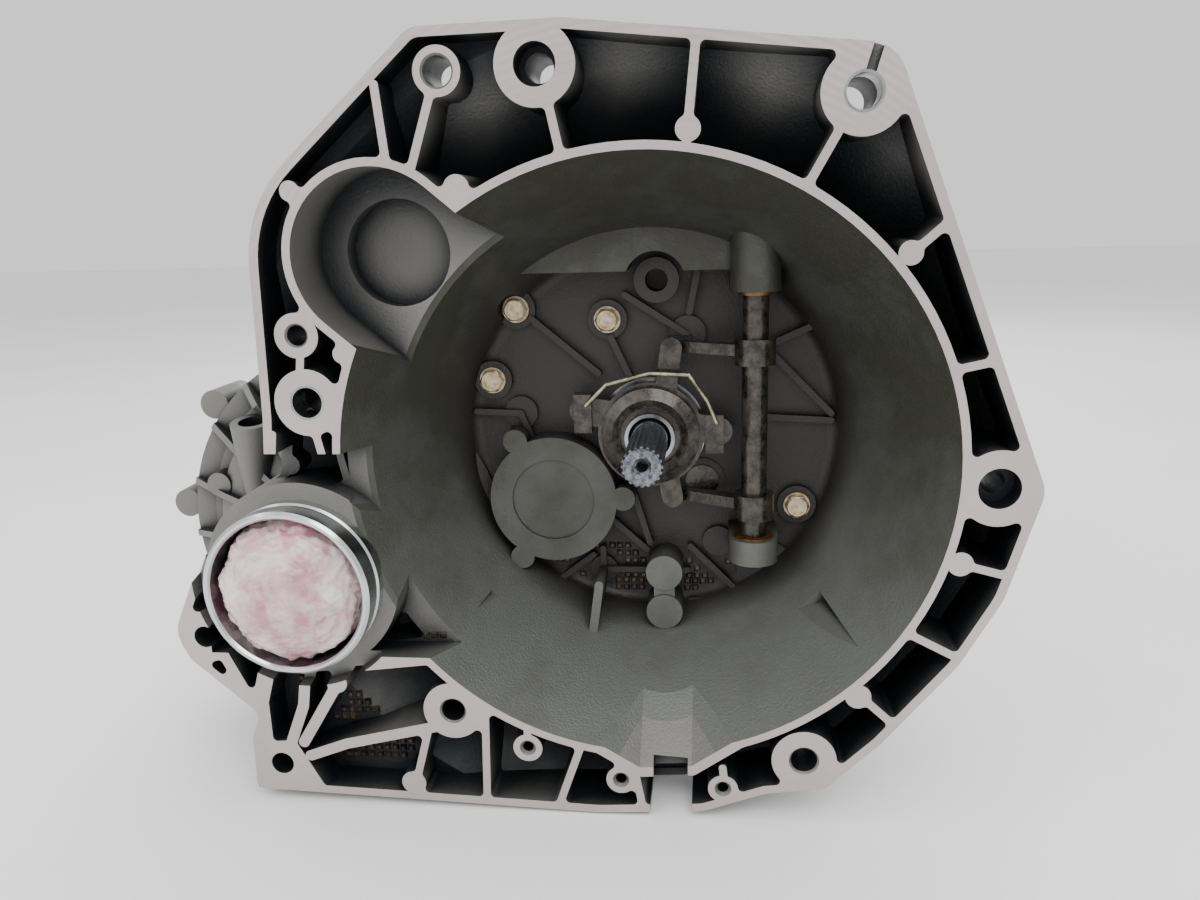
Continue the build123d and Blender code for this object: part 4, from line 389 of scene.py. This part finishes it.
# Areas of the waffle pattern: range of x, of z and of the ground's depth y, in metres
WAFFLE_AREAS = [
    ((-0.064, 0.060), (-0.092, -0.066), (0.0955, 0.0985)),
    ((-0.056, 0.060), (-0.1, -0.088), (0.0955, 0.0985)),
    ((-0.195, -0.104), (-0.172, -0.092), (0.012, 0.052)),
]


def stud_seats(x_range, z_range, y_range):
    """Places on the casing, seen from the front, where a whole stud finds flat ground at this depth."""
    casing = NODES["bell_housing"]
    half = STUD_PITCH * 0.5
    for i in range(int((x_range[1] - x_range[0]) / STUD_PITCH)):
        for j in range(int((z_range[1] - z_range[0]) / STUD_PITCH)):
            x, z = x_range[0] + (i + 0.5) * STUD_PITCH, z_range[0] + (j + 0.5) * STUD_PITCH
            depths = []
            for dx, dz in ((0, 0), (half, half), (half, -half), (-half, half), (-half, -half)):
                hit, where, _, _ = casing.ray_cast((x + dx, -0.02, z + dz), (0, 1, 0))
                depths.append(where[1] if hit else -1)
            flat = max(depths) - min(depths) < STUD_FLATNESS
            if flat and y_range[0] < min(depths) and max(depths) < y_range[1]:
                yield x, depths[0], z


def floor_waffle():
    """Square studs of the waffle pattern on the bell floor and in the lower left pockets."""
    edit = bmesh.new()
    base, top = STUD_PITCH * 0.44, STUD_PITCH * 0.2
    for x_range, z_range, y_range in WAFFLE_AREAS:
        for x, y, z in stud_seats(x_range, z_range, y_range):
            lower = [edit.verts.new((x + sx * base, y, z + sz * base)) for sx, sz in CORNERS]
            upper = [edit.verts.new((x + sx * top, y - STUD_HEIGHT, z + sz * top)) for sx, sz in CORNERS]
            edit.faces.new(upper)
            edit.faces.new(lower[::-1])
            for k in range(4):
                edit.faces.new((upper[k], lower[k], lower[k - 3], upper[k - 3]))
    bmesh.ops.recalc_face_normals(edit, faces=edit.faces)
    return as_object("floor_waffle", edit, "casing", floor_waffle_skin())



WAD_HALF_DEPTH = 0.030    # half of the wad's length along the collar


def film_wad():
    """Ball of crumpled film that closes the collar while the unit is in store."""
    low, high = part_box("transit_plug")
    centre = Vector(((low[0] + high[0]) / 2, low[1] + WAD_HALF_DEPTH, (low[2] + high[2]) / 2))
    reach = (high[0] - low[0]) / 2
    edit = bmesh.new()
    bmesh.ops.create_icosphere(edit, subdivisions=6, radius=1.0)
    for vertex in edit.verts:
        way = vertex.co.normalized()
        push = noise.fractal(way * 2.2 + Vector((3, 1, 7)), 0.9, 2.1, 4) * 0.06
        fold = abs(noise.noise(Vector((way[0] * 5.5, way[1] * 3, way[2] * 11)) + Vector((5, 2, 9)))) * 0.075
        fine = abs(noise.noise(Vector((way[0] * 13, way[1] * 9, way[2] * 27)) + Vector((1, 8, 4)))) * 0.03
        size = 0.97 + push - fold - fine
        vertex.co = Vector((way[0] * reach * size, way[1] * WAD_HALF_DEPTH * size, way[2] * reach * size))
    bmesh.ops.translate(edit, verts=edit.verts, vec=centre)
    for face in edit.faces:
        face.smooth = True
    wad = as_object("film_wad", edit, "casing", FINISHES["wrap_film"])
    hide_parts("transit_plug")
    return wad


# ---------------------------------------------------------------- studio
# Lamps: name, place, width in metres, power in watts
LAMPS = [("key", (0.5, -1.3, 1.5), 1.2, 26), ("fill", (-1.3, -1.0, 0.9), 1.4, 15),
         ("top", (0.0, 0.2, 1.9), 1.6, 18), ("back", (0.3, 1.8, 1.2), 1.4, 16)]
SKY_STRENGTH = 1.05
LENS_MM = 28.6
CAMERA_SPOT = (0.0346, -0.4425, 0.1242)
CAMERA_RIGHT, CAMERA_UP = (0.99315, 0.11326, -0.02868), (0.0, 0.24551, 0.96939)
CAMERA_AHEAD = (-0.11683, 0.96275, -0.24383)


def studio():
    """Pale floor, soft lights and the camera."""
    low, high = cad_box
    edit = bmesh.new()
    bmesh.ops.create_grid(edit, x_segments=1, y_segments=1, size=6.0)
    mesh = bpy.data.meshes.new("studio_floor")
    edit.to_mesh(mesh)
    edit.free()
    ground = bpy.data.objects.new("studio_floor", mesh)
    ground.location = (0, 0, low[2] - 0.001)
    bpy.context.scene.collection.objects.link(ground)
    dress(ground, pale_floor())

    world = bpy.data.worlds.new("studio")
    bpy.context.scene.world = world
    world.use_nodes = True
    world.node_tree.nodes["Background"].inputs["Color"].default_value = (1.0, 1.0, 1.0, 1.0)
    world.node_tree.nodes["Background"].inputs["Strength"].default_value = SKY_STRENGTH

    for name, place, size, power in LAMPS:
        light = bpy.data.lights.new(name, "AREA")
        light.size = size
        light.energy = power
        lamp = bpy.data.objects.new(name, light)
        lamp.location = place
        lamp.rotation_euler = (Vector((0, 0.1, 0)) - Vector(place)).to_track_quat("-Z", "Y").to_euler()
        bpy.context.scene.collection.objects.link(lamp)

    camera = bpy.data.objects.new("camera", bpy.data.cameras.new("camera"))
    camera.data.lens = LENS_MM
    camera.data.sensor_width = 36
    turn = Matrix((CAMERA_RIGHT, CAMERA_UP, [-part for part in CAMERA_AHEAD])).transposed()
    camera.matrix_world = Matrix.Translation(CAMERA_SPOT) @ turn.to_4x4()
    bpy.context.scene.collection.objects.link(camera)
    bpy.context.scene.camera = camera


dress_cad_nodes()
floor_waffle()
film_wad()
studio()
